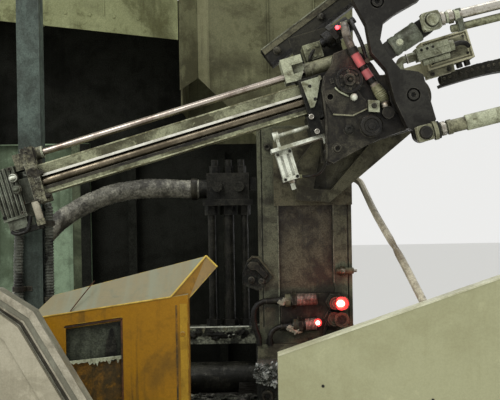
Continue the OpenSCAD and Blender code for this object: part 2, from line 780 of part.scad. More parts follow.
module link_bar() {
    back = link_y + link_t;
    color("black") on_swing() difference() {
        union() {
            plate_y(link_y, link_t) link_outline();
            bar_y(0, 0, back - e, -19, pivot_d / 2);
            plate_y(link_y + 4, link_t - 8) strap(lower_pin, [-4, -45], 13);
            plate_y(link_y + 3, link_t - 6) strap([-15, 80], upper_pin, 14);
            for (p = [upper_pin, lower_pin]) {
                bar_y(p[0], p[1], rod_y - 6, link_y + 5, pin_r);
                bar_y(p[0], p[1], rod_y - 7, rod_y - 2, pin_r + 4);
                bar_y(p[0], p[1], link_y - 5, link_y + 4, pin_r + 4);
            }
            bar_y(10, 222, back - e, brace_y - seat, 13);
        }
        for (p = [[0, 0], [-12, 159]]) difference() {
            bar_y(p[0], p[1], link_y - 1, link_y + 9, 11);
            bar_y(p[0], p[1], link_y - 2, link_y + 10, 8);
        }
        for (p = [[0, 0], [-12, 159]])
            translate([p[0], link_y + 6, p[1]]) rotate([90, 0, 0]) cylinder(h = 8, r = 4.6, $fn = 6);
    }
}

brace_y = -138;
brace_w = 36;
module upper_brace() {
    start = [-196, 146];
    lean = 20.2;
    brace_l = 330;
    color("darkolivegreen") on_swing() {
        translate([start[0], brace_y, start[1]]) rotate([0, -lean, 0]) difference() {
            span([0, 0, -brace_w / 2], [brace_l, brace_w, brace_w / 2]);
            span([-1, sheet_t, sheet_t - brace_w / 2],
                [brace_l - 6, brace_w - sheet_t, brace_w / 2 - sheet_t]);
        }
        span([-150, head_rear_y + seat, 70], [-64, brace_y + 4, 168]);
    }
}

rod_block_x = -146;
rod_block_w = 36;
module rod_block() {
    left = rod_block_x - rod_block_w;
    color("beige") on_swing() difference() {
        plate_y(arm_y - 27, 54) polygon([[left, rod_c - 12], [left, rod_c + 28],
            [rod_block_x, rod_c + 28], [rod_block_x, rod_c + 4], [rod_block_x - 12, rod_c - 14]]);
        bar_x(arm_y, rod_c, left - 1, rod_block_x + 1, top_rod_d / 2 + run);
        span([rod_block_x - 20, arm_y - 28, rod_c - 1], [rod_block_x + 1, arm_y - 16, rod_c + 14]);
    }
}

module rod_cylinder() {
    color("khaki") on_swing() difference() {
        union() {
            bar_x(arm_y, rod_c, rod_block_x + air, -27, 13.5);
            bar_x(arm_y, rod_c, rod_block_x + air, rod_block_x + 12, 14);
            bar_x(arm_y, rod_c, -38, -24, 15);
        }
        bar_x(arm_y, rod_c, rod_block_x - 1, stroke - arm_reach + beam_l + 6, top_rod_d / 2 + 2);
    }
}

slide_left = -168;
module slide_block() {
    front = head_front_y + head_plate_t;
    rear = head_rear_y - rear_plate_t;
    low = beam_c - beam_h / 2 - 14;
    color("dimgray") on_swing() {
        difference() {
            span([slide_left + 4, front, low], [-86, rear, 83 - seat]);
            span([slide_left, arm_y - beam_d / 2 - 1, beam_c - beam_h / 2 - 1],
                [-85, arm_y + beam_d / 2 + 1, beam_c + beam_h / 2 + 1]);
        }
        span([slide_left, front, lock_bar_z + 6 + air], [-147 - air, rear, low + e]);
        span([slide_left, front, low], [slide_left + 12, rear, low + 8]);
    }
}

module gusset_plate() {
    color("beige") on_swing() difference() {
        plate_y(head_front_y + head_plate_t - 5, 5 - air)
            polygon([[-160, 78], [-129, 78], [-129, 71], [-144, 41], [-151, 32], [-157, 32]]);
        for (p = [[-148, 67], [-145.5, 44]]) bar_y(p[0], p[1], -250, -230, 3);
    }
}

lock_left = -234;
lock_w = 27;
lock_h = 50;
module lock_cylinder() {
    top = lock_bar_z - 2;
    right = lock_left + lock_w;
    middle = lock_left + lock_w / 2;
    color("lightgray") on_swing() {
        difference() {
            span([lock_left, arm_y - 22, top - lock_h], [right, arm_y + 22, lock_bar_z + e]);
            for (x = [lock_left + 5.5, right - 10]) for (y = [arm_y - 22, arm_y + 22])
                span([x, y - 3, top - lock_h - 1], [x + 4.5, y + 3, top - 1]);
        }
        span([lock_left - 6, arm_y - 36, lock_bar_z], [-147 - air, arm_y + 36, lock_bar_z + 6]);
        translate([middle, arm_y, top - lock_h - 17]) cylinder(h = 18, r = 4);
        bar_x(arm_y - 16, 5, lock_left + 12, slide_left - air, 3.5);
        bar_x(arm_y - 16, 5, lock_left + 4, lock_left + 14, 8);
        span([lock_left + 7, arm_y - 22, lock_bar_z + 5], [lock_left + 12, arm_y - 10, 1]);
    }
}

sensor_foot = [-96, 137.5];
sensor_r = 14;
module stroke_sensor() {
    color("dimgray") on_swing() translate([sensor_foot[0], -190, sensor_foot[1]]) rotate([0, 70, 0]) {
        cylinder(h = 52, r = sensor_r);
        translate([0, 0, -8]) cylinder(h = 9, r = 8);
        translate([0, 0, 14]) cylinder(h = 8, r = sensor_r + 5, $fn = 6);
        translate([0, 0, 51]) cylinder(h = 12, r = 6);
        span([-8, 8, 8], [8, 190 + head_rear_y, 30]);
    }
}

box_x0 = 60;
box_x1 = 143;
box_z0 = 38;
box_z1 = 88;
module junction_box() {
    front = -186;
    color("beige") on_swing() {
        difference() {
            span([box_x0, front, box_z0], [box_x1, head_rear_y, box_z1]);
            span([box_x0 + 3, front - 1, box_z0 + 3], [box_x1 - 3, front + 6, box_z1 - 3]);
        }
        span([box_x0 + 6, front + 2, box_z0 + 6], [box_x1 - 6, front + 6.1, box_z1 - 6]);
        span([-56, head_rear_y, 34], [box_x1 - 32, head_rear_y + 6, 58]);
        span([box_x0 - 2, front + 8, box_z0 - 12], [box_x0 + 44, -146, box_z0 + e]);
    }
}

module air_valve() {
    front = -216;
    color("khaki") on_swing() {
        span([43, front, 57], [100, -186 - seat, 78]);
        for (x = [52, 62, 72]) translate([x, front + 12, 77]) cylinder(h = 3, r = 3.5);
        bar_x(front + 15, 67, 27, 44, 8);
        bar_x(front + 15, 67, 99, 110, 9);
        bar_x(front + 8, 52.5, 50, 97, 5.5);
    }
}

// The two tubes leave the stroke sensor and end on bosses of the front cheek
module air_tubes() {
    sensor_front = -190 - sensor_r - air;
    lie = head_front_y - 7.5;
    color("rosybrown") on_swing() {
        swept_tube([[-61, sensor_front, 150], [-61, sensor_front - 8, 150], [-61, -220, 150],
            [-63, -240, 146], [-67, -260, 135], [-69, -273, 120], [-67, lie, 98], [-60.4, lie, 70.6],
            [-53.7, lie, 48], [-47, lie, 26], [-43.5, lie, 14], [-42.3, lie, 6], [-42, lie, 0],
            [-42, lie, -3.6]], 7, 3, 10);
        swept_tube([[-50, sensor_front, 154], [-50, sensor_front - 8, 154], [-50, -220, 154],
            [-51, -242, 150], [-52, -263, 136], [-51, -274, 118], [-50, lie, 102], [-50, lie, 92],
            [-50, lie, 86], [-50, lie, 80.5]], 3.2, 3, 8);
    }
}

module drive_rocker() {
    pivot = [0, 0];
    up = [upper_pin_w[0] - pivot_x, upper_pin_w[1] - pivot_z];
    low = [lower_pin_w[0] - pivot_x, lower_pin_w[1] - pivot_z];
    color("black") translate([rocker_w[0], 0, rocker_w[1]]) {
        plate_y(link_y, 24) union() {
            strap(pivot, up, 17);
            strap(pivot, low, 17);
            circle(36);
        }
        bar_y(0, 0, link_y + 23, -186, 15);
        bar_y(0, 0, link_y + 23, -280 - 1, 24);
        for (p = [up, low]) {
            bar_y(p[0], p[1], rod_y - 6, link_y + 1, pin_r);
            bar_y(p[0], p[1], rod_y - 7, rod_y - 2, pin_r + 4);
            bar_y(p[0], p[1], link_y - 5, link_y + 1, pin_r + 4);
        }
    }
}

// A rod between two eyes, with lock nuts, drawn along X from the first pin
module link_rod(eye, rod_d, collar_d) {
    difference() {
        union() {
            for (x = [0, crank_span])
                translate([x, rod_y + rod_eye_t / 2, 0])
                    cube([eye, rod_eye_t - 2, eye], center = true);
            bar_x(rod_y + rod_eye_t / 2, 0, eye / 2 - 2, crank_span - eye / 2 + 2, 7);
            bar_x(rod_y + rod_eye_t / 2, 0, eye / 2 + 24, crank_span - eye / 2 - 24, rod_d / 2);
            for (x = [eye / 2 + 2, crank_span - eye / 2 - 8])
                bar_x(rod_y + rod_eye_t / 2, 0, x, x + 6, collar_d / 2);
            for (x = [eye / 2 + 14, crank_span - eye / 2 - 22])
                translate([x, rod_y + rod_eye_t / 2, 0]) rotate([0, 90, 0])
                    cylinder(h = 8, r = 11, $fn = 6);
        }
        for (x = [0, crank_span]) bar_y(x, 0, rod_y - 20, rod_y + rod_eye_t + 20, pin_r + run);
    }
}

module upper_link_rod() {
    color("silver") translate([upper_pin_w[0], 0, upper_pin_w[1]]) rotate([0, -rod_rise, 0])
        link_rod(27, upper_rod_d, 22);
}

module lower_link_rod() {
    color("beige") translate([lower_pin_w[0], 0, lower_pin_w[1]]) rotate([0, -rod_rise, 0])
        link_rod(24, lower_rod_d, 30);
}

// Sliding arm

shaft_z0 = beam_c - 12;
module guide_beam() {
    x0 = -arm_reach;
    color("darkseagreen") on_swing() difference() {
        span([x0, arm_y - beam_d / 2, beam_c - beam_h / 2],
            [x0 + beam_l, arm_y + beam_d / 2, beam_c + beam_h / 2]);
        span([x0 - 1, arm_y - beam_d / 2 - 1, shaft_z0],
            [x0 + beam_l + 1, arm_y - beam_d / 2 + beam_shaft_d + 2, shaft_z0 + beam_shaft_d + 1]);
        span([x0 - 1, arm_y + 4, beam_c - beam_h / 2 + 5],
            [x0 + beam_l + 1, arm_y + beam_d / 2 - 5, beam_c + beam_h / 2 - 5]);
    }
}

module beam_shaft() {
    color("silver") on_swing() bar_x(arm_y - beam_d / 2 + beam_shaft_d / 2 + 0.6,
        shaft_z0 + beam_shaft_d / 2 + air, -arm_reach, beam_l - arm_reach, beam_shaft_d / 2);
}

module top_rod() {
    color("silver") on_swing() {
        bar_x(arm_y, rod_c, 9 - arm_reach, beam_l - arm_reach, top_rod_d / 2);
    }
}

end_t = 20;
module end_plate() {
    x = -arm_reach;
    half = 30;
    pin_x = x - 20;
    pin_y = arm_y - half;
    low = 14;
    color("tan") on_swing() {
        span([x - end_t, arm_y - half, low], [x, arm_y + half, 109]);
        bar_x(arm_y, rod_c, x - 1, x + 9, 11);
        span([x - end_t - 17, arm_y - 20, 76], [x - end_t + 1, arm_y + 20, 104]);
        bar_x(pin_y, low + 4, pin_x, x - 11, 4);
        translate([pin_x, pin_y, -20]) cylinder(h = 40, r = 6);
        translate([pin_x, pin_y, -22]) cylinder(h = 10, r = 7.5);
        for (z = [22, 62]) bar_x(pin_y + 4, z, x - 1, x + 5, 4);
    }
}

module gripper_cylinder() {
    x = -arm_reach - end_t - 0.3;
    color("gray") on_swing() difference() {
        union() {
            span([x - 58, arm_y - 32, 2], [x - 18, arm_y + 32, 86]);
            span([x - 19, arm_y - 18, 20], [x, arm_y + 18, 62]);
            span([x - 54, arm_y - 28, -18], [x - 22, arm_y + 28, 3]);
            bar_y(x - 22, 66, arm_y - 40, arm_y - 17, 6);
            bar_y(x - 22, 46, arm_y - 40, arm_y - 17, 6);
        }
        for (k = [0 : 4]) span([x - 55 + k * 7.4, arm_y - 33, 1], [x - 52 + k * 7.4, arm_y - 28, 87]);
    }
}

module gripper_jaws() {
    x = -arm_reach - end_t - 0.3 - 58;
    color("dimgray") on_swing() {
        span([x - 40, arm_y - 24, 24], [x - air, arm_y + 24, 70]);
        for (s = [-1, 1]) translate([x - 30, arm_y, 47]) scale([1, 1, s])
            plate_y(-11, 22) polygon([[0, 8], [4, 30], [-30, 40], [-92, 26], [-110, 10], [-104, 6],
                [-84, 14], [-34, 20], [-16, 8]]);
        for (s = [-1, 1]) bar_y(x - 26, 47 + s * 20, arm_y - 28, arm_y + 28, 5);
    }
}

bed();
fixed_platen();
moving_platen();
tie_bars();
fixed_die();
moving_die();
shot_frame();
shot_sleeve();
shot_cylinder();
mast();
mast_bracket();
proximity_sensors();
pipe_rail();
manifold();
standpipes();
core_hose();
hose_foot();
splash_guard();
splash_window();
right_guard();
side_cabinet();
cabinet_door();
front_left_post();
front_right_post();
rear_posts();
roof_frame();
hood_skirt();
hood_duct();
rear_wall();
rear_left_panel();
guard_stay();
drive_column();
gear_motor();
cable_chain();
swing_head();
link_bar();
upper_brace();
rod_block();
rod_cylinder();
slide_block();
gusset_plate();
lock_cylinder();
stroke_sensor();
junction_box();
air_valve();
air_tubes();
drive_rocker();
upper_link_rod();
lower_link_rod();
guide_beam();
beam_shaft();
top_rod();
end_plate();
gripper_cylinder();
gripper_jaws();
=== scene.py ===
"""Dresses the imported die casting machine: finishes, fasteners, fittings and hoses on the CAD frame."""

import logging
import math
from collections.abc import Iterable, Sequence
from dataclasses import dataclass, field
from enum import Enum

import bpy
import numpy as np
from mathutils import Matrix, Vector


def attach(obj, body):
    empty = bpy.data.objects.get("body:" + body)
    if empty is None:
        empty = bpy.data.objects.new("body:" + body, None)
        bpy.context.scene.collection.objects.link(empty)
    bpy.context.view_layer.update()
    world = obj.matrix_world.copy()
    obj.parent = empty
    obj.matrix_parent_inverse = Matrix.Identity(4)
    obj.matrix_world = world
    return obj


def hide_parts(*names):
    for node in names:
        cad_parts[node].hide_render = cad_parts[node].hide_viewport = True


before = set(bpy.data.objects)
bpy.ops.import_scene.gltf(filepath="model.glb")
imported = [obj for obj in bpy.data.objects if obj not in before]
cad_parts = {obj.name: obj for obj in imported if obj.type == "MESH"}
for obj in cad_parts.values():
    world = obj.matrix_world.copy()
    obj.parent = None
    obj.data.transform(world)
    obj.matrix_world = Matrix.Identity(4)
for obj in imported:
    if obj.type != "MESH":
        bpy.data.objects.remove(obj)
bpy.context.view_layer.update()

log = logging.getLogger("die_casting_machine")

MM = 0.001
Colour = tuple[float, float, float]
Point = tuple[float, float, float]

MACHINE = "machine"
HEAD = "head"
ARM = "arm"
UPPER_LINK = "upper_link"
LOWER_LINK = "lower_link"

PIVOT = (263.0, 1663.0)
ARM_TILT = 16.0
SWING = Matrix.Translation((PIVOT[0], 0, PIVOT[1])) @ Matrix.Rotation(math.radians(-ARM_TILT), 4, "Y")

WORN_EDGE_RADIUS = 0.0022
SHADING_SAMPLES = 4
BEVEL_ANGLE = 50.0
BEVEL_SEGMENTS = 2
# Where a pattern or a measure starts and ends to show, as its own value
SPOT_BAND = (0.5, 0.62)
PALE_BAND = (0.43, 0.33)
RUN_BAND = (0.5, 0.66)
RUN_PATCH_BAND = (0.38, 0.56)
GRAIN_BAND = (0.36, 0.64)
DUST_BAND = (0.38, 0.64)
# Ambient occlusion band where grime and painted shade darken creases
CREASE_DIRT_AND_SHADE_BAND = (0.85, 0.35)
EDGE_BAND = (0.995, 0.86)
RAGGED_BAND = (0.42, 0.6)
UPWARD_BAND = (0.15, 0.75)
ROUGH_BAND = (0.35, 0.65)
# Share of the stain colour in the darkest grime and painted shade of creases
DARKEST_SHARE = 0.35
PALE_GAIN = 1.35

# Colours of every glowing material, real lamps and painted glows alike
GLOW_CORE = (0.3, 0.0, 0.0)
GLOW_EMISSION = (0.6, 0.0, 0.02)


class Axis(Enum):
    """An axis that a shape is turned about."""

    X = 0
    Y = 1
    Z = 2


def tint(red: int, green: int, blue: int) -> Colour:
    """Turns a colour as seen on a screen, 0 to 255, into Blender's linear values.

    Args:
        red: The red share.
        green: The green share.
        blue: The blue share.

    Returns:
        The three linear values.
    """
    seen = np.array([red, green, blue]) / 255
    linear = np.where(seen <= 0.04045, seen / 12.92, ((seen + 0.055) / 1.055) ** 2.4)
    return tuple(float(v) for v in linear)


def linked(name: str, data: bpy.types.ID) -> bpy.types.Object:
    """Makes an object of its data and links it to the scene."""
    made = bpy.data.objects.new(name, data)
    bpy.context.scene.collection.objects.link(made)
    return made


def node_material(name: str) -> bpy.types.Material:
    """Makes a new material that has nodes."""
    made = bpy.data.materials.new(name)
    made.use_nodes = True
    return made


# Finishes


@dataclass(frozen=True)
class Finish:
    """A painted, cast, ground or moulded surface with its stains, wear and grain."""

    name: str
    slot: str
    base: Colour
    stain: Colour
    roughness: float
    metallic: float = 0.0
    cover: float = 0.45
    soil: float = 1.0
    patch: float = 7.0
    streak: float = 0.0
    grain: float = 0.18
    grain_scale: float = 420.0
    bump: float = 0.12
    wear: float = 0.0
    worn: Colour = (0.42, 0.41, 0.38)
    # Grime and painted shade in creases: how strongly ambient occlusion darkens the colour, and how far it
    # looks
    crease_dirt_and_shade: float = 0.55
    crease_dirt_and_shade_reach: float = 0.03
    dust: float = 0.0
    combed: bool = False
    dust_colour: Colour = (0.36, 0.34, 0.28)
    gloss: float = 0.3
    relief: float = 0.0015

    def material(self) -> bpy.types.Material:
        """Gives this finish's material, made once.

        Returns:
            The material with its node tree.
        """
        found = bpy.data.materials.get(f"dress_{self.name}")
        if found:
            return found
        made = node_material(f"dress_{self.name}")
        made.diffuse_color = (*self.base, 1)
        FinishTree(made.node_tree, self).build()
        return made


class FinishTree:
    """Lays out the nodes of one finish: colour from stains, runs, grain, dust, grime and painted shade in
    creases, and worn edges.
    """

    def __init__(self, tree: bpy.types.NodeTree, finish: Finish) -> None:
        """Starts from the material's own shader and its object coordinates."""
        self.tree = tree
        self.finish = finish
        self.shader = tree.nodes["Principled BSDF"]
        self.place = self.node("ShaderNodeTexCoord").outputs["Object"]

    def node(self, kind: str, **settings: object) -> bpy.types.Node:
        """Adds a node and sets its properties."""
        made = self.tree.nodes.new(kind)
        for name, value in settings.items():
            setattr(made, name, value)
        return made

    def feed(self, socket: bpy.types.NodeSocket, value: object) -> None:
        """Links an output to a socket, or sets the socket's own value."""
        if isinstance(value, bpy.types.NodeSocket):
            self.tree.links.new(value, socket)
        elif isinstance(value, tuple):
            socket.default_value = (*value, 1) if len(value) == 3 and socket.type == "RGBA" else value
        else:
            socket.default_value = value

    def noise(self, scale: float, detail: float, squash: Point = (1, 1, 1),
              rough: float = 0.6, twist: float = 0.0) -> bpy.types.NodeSocket:
        """Adds a noise pattern.

        Args:
            scale: Patches for each metre.
            detail: Octaves.
            squash: Stretch of the pattern along each axis; below one draws it out.
            rough: Strength of the finer octaves.
            twist: How far the pattern is warped.

        Returns:
            The pattern's value.
        """
        mapping = self.node("ShaderNodeMapping")
        self.feed(mapping.inputs["Vector"], self.place)
        self.feed(mapping.inputs["Scale"], squash)
        made = self.node("ShaderNodeTexNoise")
        self.feed(made.inputs["Vector"], mapping.outputs["Vector"])
        settings = {"Scale": scale, "Detail": detail, "Roughness": rough, "Distortion": twist}
        for name, value in settings.items():
            self.feed(made.inputs[name], value)
        return made.outputs["Fac"]

    def band(self, value: bpy.types.NodeSocket, low: float, high: float,
             first: float = 0.0, last: float = 1.0) -> bpy.types.NodeSocket:
        """Maps a value's band from low to high onto first to last, smoothly and clamped."""
        made = self.node("ShaderNodeMapRange", interpolation_type="SMOOTHSTEP")
        self.feed(made.inputs["Value"], value)
        for name, number in (("From Min", low), ("From Max", high), ("To Min", first), ("To Max", last)):
            self.feed(made.inputs[name], number)
        return made.outputs["Result"]

    def math(self, operation: str, first: object, second: object = 0.0) -> bpy.types.NodeSocket:
        """Works one sum out of two values."""
        made = self.node("ShaderNodeMath", operation=operation, use_clamp=True)
        self.feed(made.inputs[0], first)
        self.feed(made.inputs[1], second)
        return made.outputs[0]

    def mix(self, share: object, first: object, second: object, way: str = "MIX") -> bpy.types.NodeSocket:
        """Mixes two colours by a share."""
        made = self.node("ShaderNodeMix", data_type="RGBA", blend_type=way)
        self.feed(made.inputs["Factor"], share)
        self.feed(made.inputs["A"], first)
        self.feed(made.inputs["B"], second)
        return made.outputs["Result"]

    def edges(self) -> bpy.types.NodeSocket:
        """Finds convex edges: how far a rounded normal departs from the true one.

        Returns:
            0 on flats and up to 1 along sharp edges.
        """
        rounded = self.node("ShaderNodeBevel", samples=SHADING_SAMPLES)
        self.feed(rounded.inputs["Radius"], WORN_EDGE_RADIUS)
        facing = self.node("ShaderNodeNewGeometry").outputs["Normal"]
        dot = self.node("ShaderNodeVectorMath", operation="DOT_PRODUCT")
        self.feed(dot.inputs[0], rounded.outputs["Normal"])
        self.feed(dot.inputs[1], facing)
        ragged = self.noise(60, 3)
        sharp = self.band(dot.outputs["Value"], *EDGE_BAND)
        return self.math("MULTIPLY", sharp, self.band(ragged, *RAGGED_BAND))

    def facing_up(self) -> bpy.types.NodeSocket:
        """Finds surfaces that face up, where dust lies."""
        apart = self.node("ShaderNodeSeparateXYZ")
        self.feed(apart.inputs[0], self.node("ShaderNodeNewGeometry").outputs["Normal"])
        return self.band(apart.outputs["Z"], *UPWARD_BAND)

    def colour(self, broad: bpy.types.NodeSocket, middle: bpy.types.NodeSocket,
               fine: bpy.types.NodeSocket) -> bpy.types.NodeSocket:
        """Mixes the finish's colour.

        Args:
            broad: Patches of a hand's width.
            middle: Spots of a finger's width.
            fine: Grain.

        Returns:
            The colour, from dirt film, spots, runs, grain, dust, grime and painted shade in creases, and worn
            edges.
        """
        f = self.finish
        edge = 0.63 - 0.26 * f.cover
        film = self.math("MULTIPLY", self.band(broad, edge - 0.07, edge + 0.09), f.soil)
        colour = self.mix(film, f.base, f.stain)
        spots = self.math("MULTIPLY", self.band(middle, *SPOT_BAND), min(1.0, f.cover * 1.3) * f.soil)
        colour = self.mix(spots, colour, f.stain)
        pale = tuple(min(1.0, PALE_GAIN * v) for v in f.base)
        colour = self.mix(self.math("MULTIPLY", self.band(middle, *PALE_BAND), f.cover), colour, pale)
        if f.streak:
            runs = self.noise(70, 5, squash=(1, 1, 0.04), rough=0.7)
            held = self.math("MULTIPLY", self.band(runs, *RUN_BAND), self.band(broad, *RUN_PATCH_BAND))
            colour = self.mix(self.math("MULTIPLY", held, f.streak), colour, f.stain)
        if f.grain:
            speck = self.band(fine, *GRAIN_BAND, 1 - f.grain, 1 + f.grain)
            lit = self.node("ShaderNodeVectorMath", operation="SCALE")
            self.feed(lit.inputs[0], colour)
            self.feed(lit.inputs["Scale"], speck)
            colour = lit.outputs["Vector"]
        if f.dust:
            laid = self.noise(38, 5, squash=(1, 0.07, 0.07), rough=0.6) if f.combed else middle
            thinnest = 0.74 if f.combed else 0.4
            lying = self.math("MULTIPLY", self.facing_up(), self.band(laid, *DUST_BAND, 1.0, thinnest))
            colour = self.mix(self.math("MULTIPLY", lying, f.dust), colour, f.dust_colour)
        # Grime and painted shade: an ambient occlusion node darkens the colour in creases, corners and
        # hollows, where shade falls
        if f.crease_dirt_and_shade:
            shade = self.node("ShaderNodeAmbientOcclusion", samples=SHADING_SAMPLES)
            self.feed(shade.inputs["Distance"], f.crease_dirt_and_shade_reach)
            deep = self.band(shade.outputs["AO"], *CREASE_DIRT_AND_SHADE_BAND)
            dark = tuple(DARKEST_SHARE * v for v in f.stain)
            colour = self.mix(self.math("MULTIPLY", deep, f.crease_dirt_and_shade), colour, dark)
        if f.wear:
            colour = self.mix(self.math("MULTIPLY", self.edges(), f.wear), colour, f.worn)
        return colour

    def build(self) -> None:
        """Links the whole finish to its shader."""
        f = self.finish
        broad = self.noise(f.patch, 9, rough=0.66, twist=0.6)
        middle = self.noise(f.patch * 6, 7, rough=0.72, twist=0.3)
        fine = self.noise(f.grain_scale, 3)
        self.feed(self.shader.inputs["Base Color"], self.colour(broad, middle, fine))
        self.feed(self.shader.inputs["Metallic"], f.metallic)
        self.feed(self.shader.inputs["Specular IOR Level"], f.gloss)
        rough = self.band(middle, *ROUGH_BAND, max(0.04, f.roughness - 0.13), min(1.0, f.roughness + 0.17))
        self.feed(self.shader.inputs["Roughness"], rough)
        if f.bump:
            relief = self.node("ShaderNodeBump")
            self.feed(relief.inputs["Strength"], f.bump)
            self.feed(relief.inputs["Distance"], f.relief)
            self.feed(relief.inputs["Height"], self.math("ADD", self.math("MULTIPLY", fine, 0.3), middle))
            self.feed(self.shader.inputs["Normal"], relief.outputs["Normal"])


@dataclass(frozen=True)
class LampOrPaintedGlow:
    """A small lit indicator lamp, or a painted glow on a part that is no lamp."""

    name: str
    colour: Colour
    strength: float

    def material(self) -> bpy.types.Material:
        """Gives the glowing material of the lamp or painted glow, made once."""
        found = bpy.data.materials.get(f"dress_{self.name}")
        if found:
            return found
        made = node_material(f"dress_{self.name}")
        tree = FinishTree(made.node_tree, PAINT_BLACK)
        core = tree.band(tree.noise(900, 2), 0.2, 0.8, 0.75, 1.0)
        tree.feed(tree.shader.inputs["Base Color"], tree.mix(core, GLOW_CORE, self.colour))
        tree.feed(tree.shader.inputs["Emission Color"], tree.mix(core, GLOW_EMISSION, self.colour))
        tree.feed(tree.shader.inputs["Emission Strength"], self.strength)
        tree.feed(tree.shader.inputs["Roughness"], 0.25)
        return made


BEAM_GREEN = Finish("beam_green", "machine_green", tint(146, 148, 118), tint(70, 68, 46), 0.42,
                    cover=0.5, patch=13, wear=0.6, worn=tint(196, 198, 170), crease_dirt_and_shade=0.8, bump=0.3)
BED_GREEN = Finish("bed_green", "machine_green", tint(96, 112, 96), tint(50, 52, 40), 0.5,
                   cover=0.4, soil=0.5, patch=5, streak=0.45, wear=0.5, dust=0.3)
CAST_DARK = Finish("cast_dark", "cast_dark", tint(50, 50, 44), tint(20, 19, 15), 0.5, 0.2,
                   cover=0.5, soil=0.6, patch=9, wear=0.35, bump=0.6, dust=0.25)
CRUST_DARK = Finish("crust_dark", "cast_dark", tint(60, 62, 53), tint(23, 24, 19), 0.5, 0.1,
                    cover=0.6, patch=16, bump=1.0, relief=0.006, grain=0.5, grain_scale=160, dust=0.25)
DIE_STEEL = Finish("die_steel", "die_steel", tint(84, 82, 76), tint(36, 33, 27), 0.45, 0.6,
                   cover=0.5, patch=10, wear=0.5, worn=tint(150, 148, 140))
GREASED_STEEL = Finish("greased_steel", "bright_steel", tint(66, 65, 56), tint(30, 30, 24), 0.36, 0.3,
                       cover=0.6, patch=14, grain=0.3, bump=0.5)
BRIGHT_STEEL = Finish("bright_steel", "bright_steel", tint(196, 192, 180), tint(118, 106, 88), 0.24, 1.0,
                      cover=0.4, patch=16, grain=0.06, bump=0.05, crease_dirt_and_shade=0.5, crease_dirt_and_shade_reach=0.01)
SHAFT_STEEL = Finish("shaft_steel", "bright_steel", tint(128, 118, 100), tint(70, 63, 50), 0.28, 0.9,
                     cover=0.42, soil=0.7, patch=6, grain=0.06, bump=0.04, crease_dirt_and_shade=0.5, crease_dirt_and_shade_reach=0.008)
ROD_STEEL = Finish("rod_steel", "bright_steel", tint(184, 174, 162), tint(108, 92, 80), 0.22, 1.0,
                   cover=0.36, soil=0.7, patch=5, grain=0.04, bump=0.02, crease_dirt_and_shade=0.4, crease_dirt_and_shade_reach=0.008)
MAST_GREY = Finish("mast_grey", "mast_grey", tint(92, 88, 68), tint(52, 46, 34), 0.4,
                   cover=0.5, patch=12, streak=0.8, wear=0.6, worn=tint(136, 134, 110), bump=0.6, crease_dirt_and_shade=0.7,
                   dust=0.3, grain=0.3, gloss=0.35)
FLANGE_GREY = Finish("flange_grey", "mast_grey", tint(104, 106, 84), tint(60, 59, 46), 0.4,
                     cover=0.45, patch=14, streak=0.5, wear=0.7, worn=tint(140, 142, 120), bump=0.5,
                     grain=0.25)
BRACE_GREY = Finish("brace_grey", "mast_grey", tint(102, 99, 77), tint(52, 48, 36), 0.45,
                    cover=0.5, patch=10, wear=0.45, worn=tint(134, 132, 108), bump=0.4, gloss=0.25)
STAY_RUST = Finish("stay_rust", "mast_grey", tint(198, 190, 166), tint(100, 86, 66), 0.32,
                   cover=0.38, soil=0.8, patch=9, wear=0.3, bump=0.15)
DARK_STEEL = Finish("dark_steel", "dark_steel", tint(62, 59, 47), tint(26, 23, 17), 0.4, 0.15,
                    cover=0.55, patch=15, wear=0.6, worn=tint(140, 136, 118), bump=0.6, crease_dirt_and_shade=0.85,
                    crease_dirt_and_shade_reach=0.02, grain=0.3)
GREASE_BLACK = Finish("grease_black", "dark_steel", tint(34, 32, 26), tint(14, 13, 10), 0.32, 0.1,
                      cover=0.55, patch=22, wear=0.5, worn=tint(96, 92, 80), bump=0.7, grain=0.4)
PAINT_BLACK = Finish("paint_black", "black_oxide", tint(44, 43, 37), tint(25, 23, 18), 0.42, 0.1,
                     cover=0.5, patch=16, wear=0.6, worn=tint(104, 100, 88), bump=0.25)
GUARD_YELLOW = Finish("guard_yellow", "guard_yellow", tint(148, 105, 16), tint(94, 70, 26), 0.5,
                      cover=0.22, soil=0.8, patch=5, streak=0.9, grain=0.07, wear=0.8,
                      worn=tint(196, 168, 70),
                      dust=0.97, combed=True, dust_colour=tint(138, 142, 122), bump=0.12, crease_dirt_and_shade=0.6,
                      gloss=0.2)
GUARD_STAIN = Finish("guard_stain", "guard_yellow", tint(122, 86, 24), tint(60, 48, 22), 0.55,
                     cover=0.62, patch=12, streak=0.9, grain=0.2, crease_dirt_and_shade=0.7)
LIP_YELLOW = Finish("lip_yellow", "guard_yellow", tint(206, 178, 84), tint(160, 128, 48), 0.4,
                    cover=0.35, patch=12, grain=0.06, bump=0.1, crease_dirt_and_shade=0.0)
RIM_BROWN = Finish("rim_brown", "guard_yellow", tint(82, 50, 26), tint(40, 28, 16), 0.6,
                   cover=0.5, patch=20, grain=0.2)
EDGE_CREAM = Finish("edge_cream", "console_edge", tint(166, 160, 140), tint(120, 114, 96), 0.45,
                    cover=0.35, patch=12, grain=0.1, bump=0.15, crease_dirt_and_shade=0.2)
PANEL_CREAM = Finish("panel_cream", "panel_cream", tint(167, 167, 131), tint(150, 148, 112), 0.55,
                     cover=0.34, soil=0.6, patch=3, streak=0.2, grain=0.04, wear=0.7,
                     worn=tint(192, 198, 176),
                     bump=0.08, crease_dirt_and_shade=0.4, gloss=0.25)
CONSOLE_CREAM = Finish("console_cream", "console_cream", tint(168, 162, 140), tint(132, 126, 104), 0.5,
                       cover=0.4, soil=0.6, patch=4, streak=0.3, grain=0.06, bump=0.08)
CONSOLE_EDGE = Finish("console_edge", "console_edge", tint(140, 140, 122), tint(110, 108, 92), 0.45, 0.0,
                      cover=0.4, patch=9, streak=0.3, grain=0.08, wear=0.6, worn=tint(190, 190, 178))
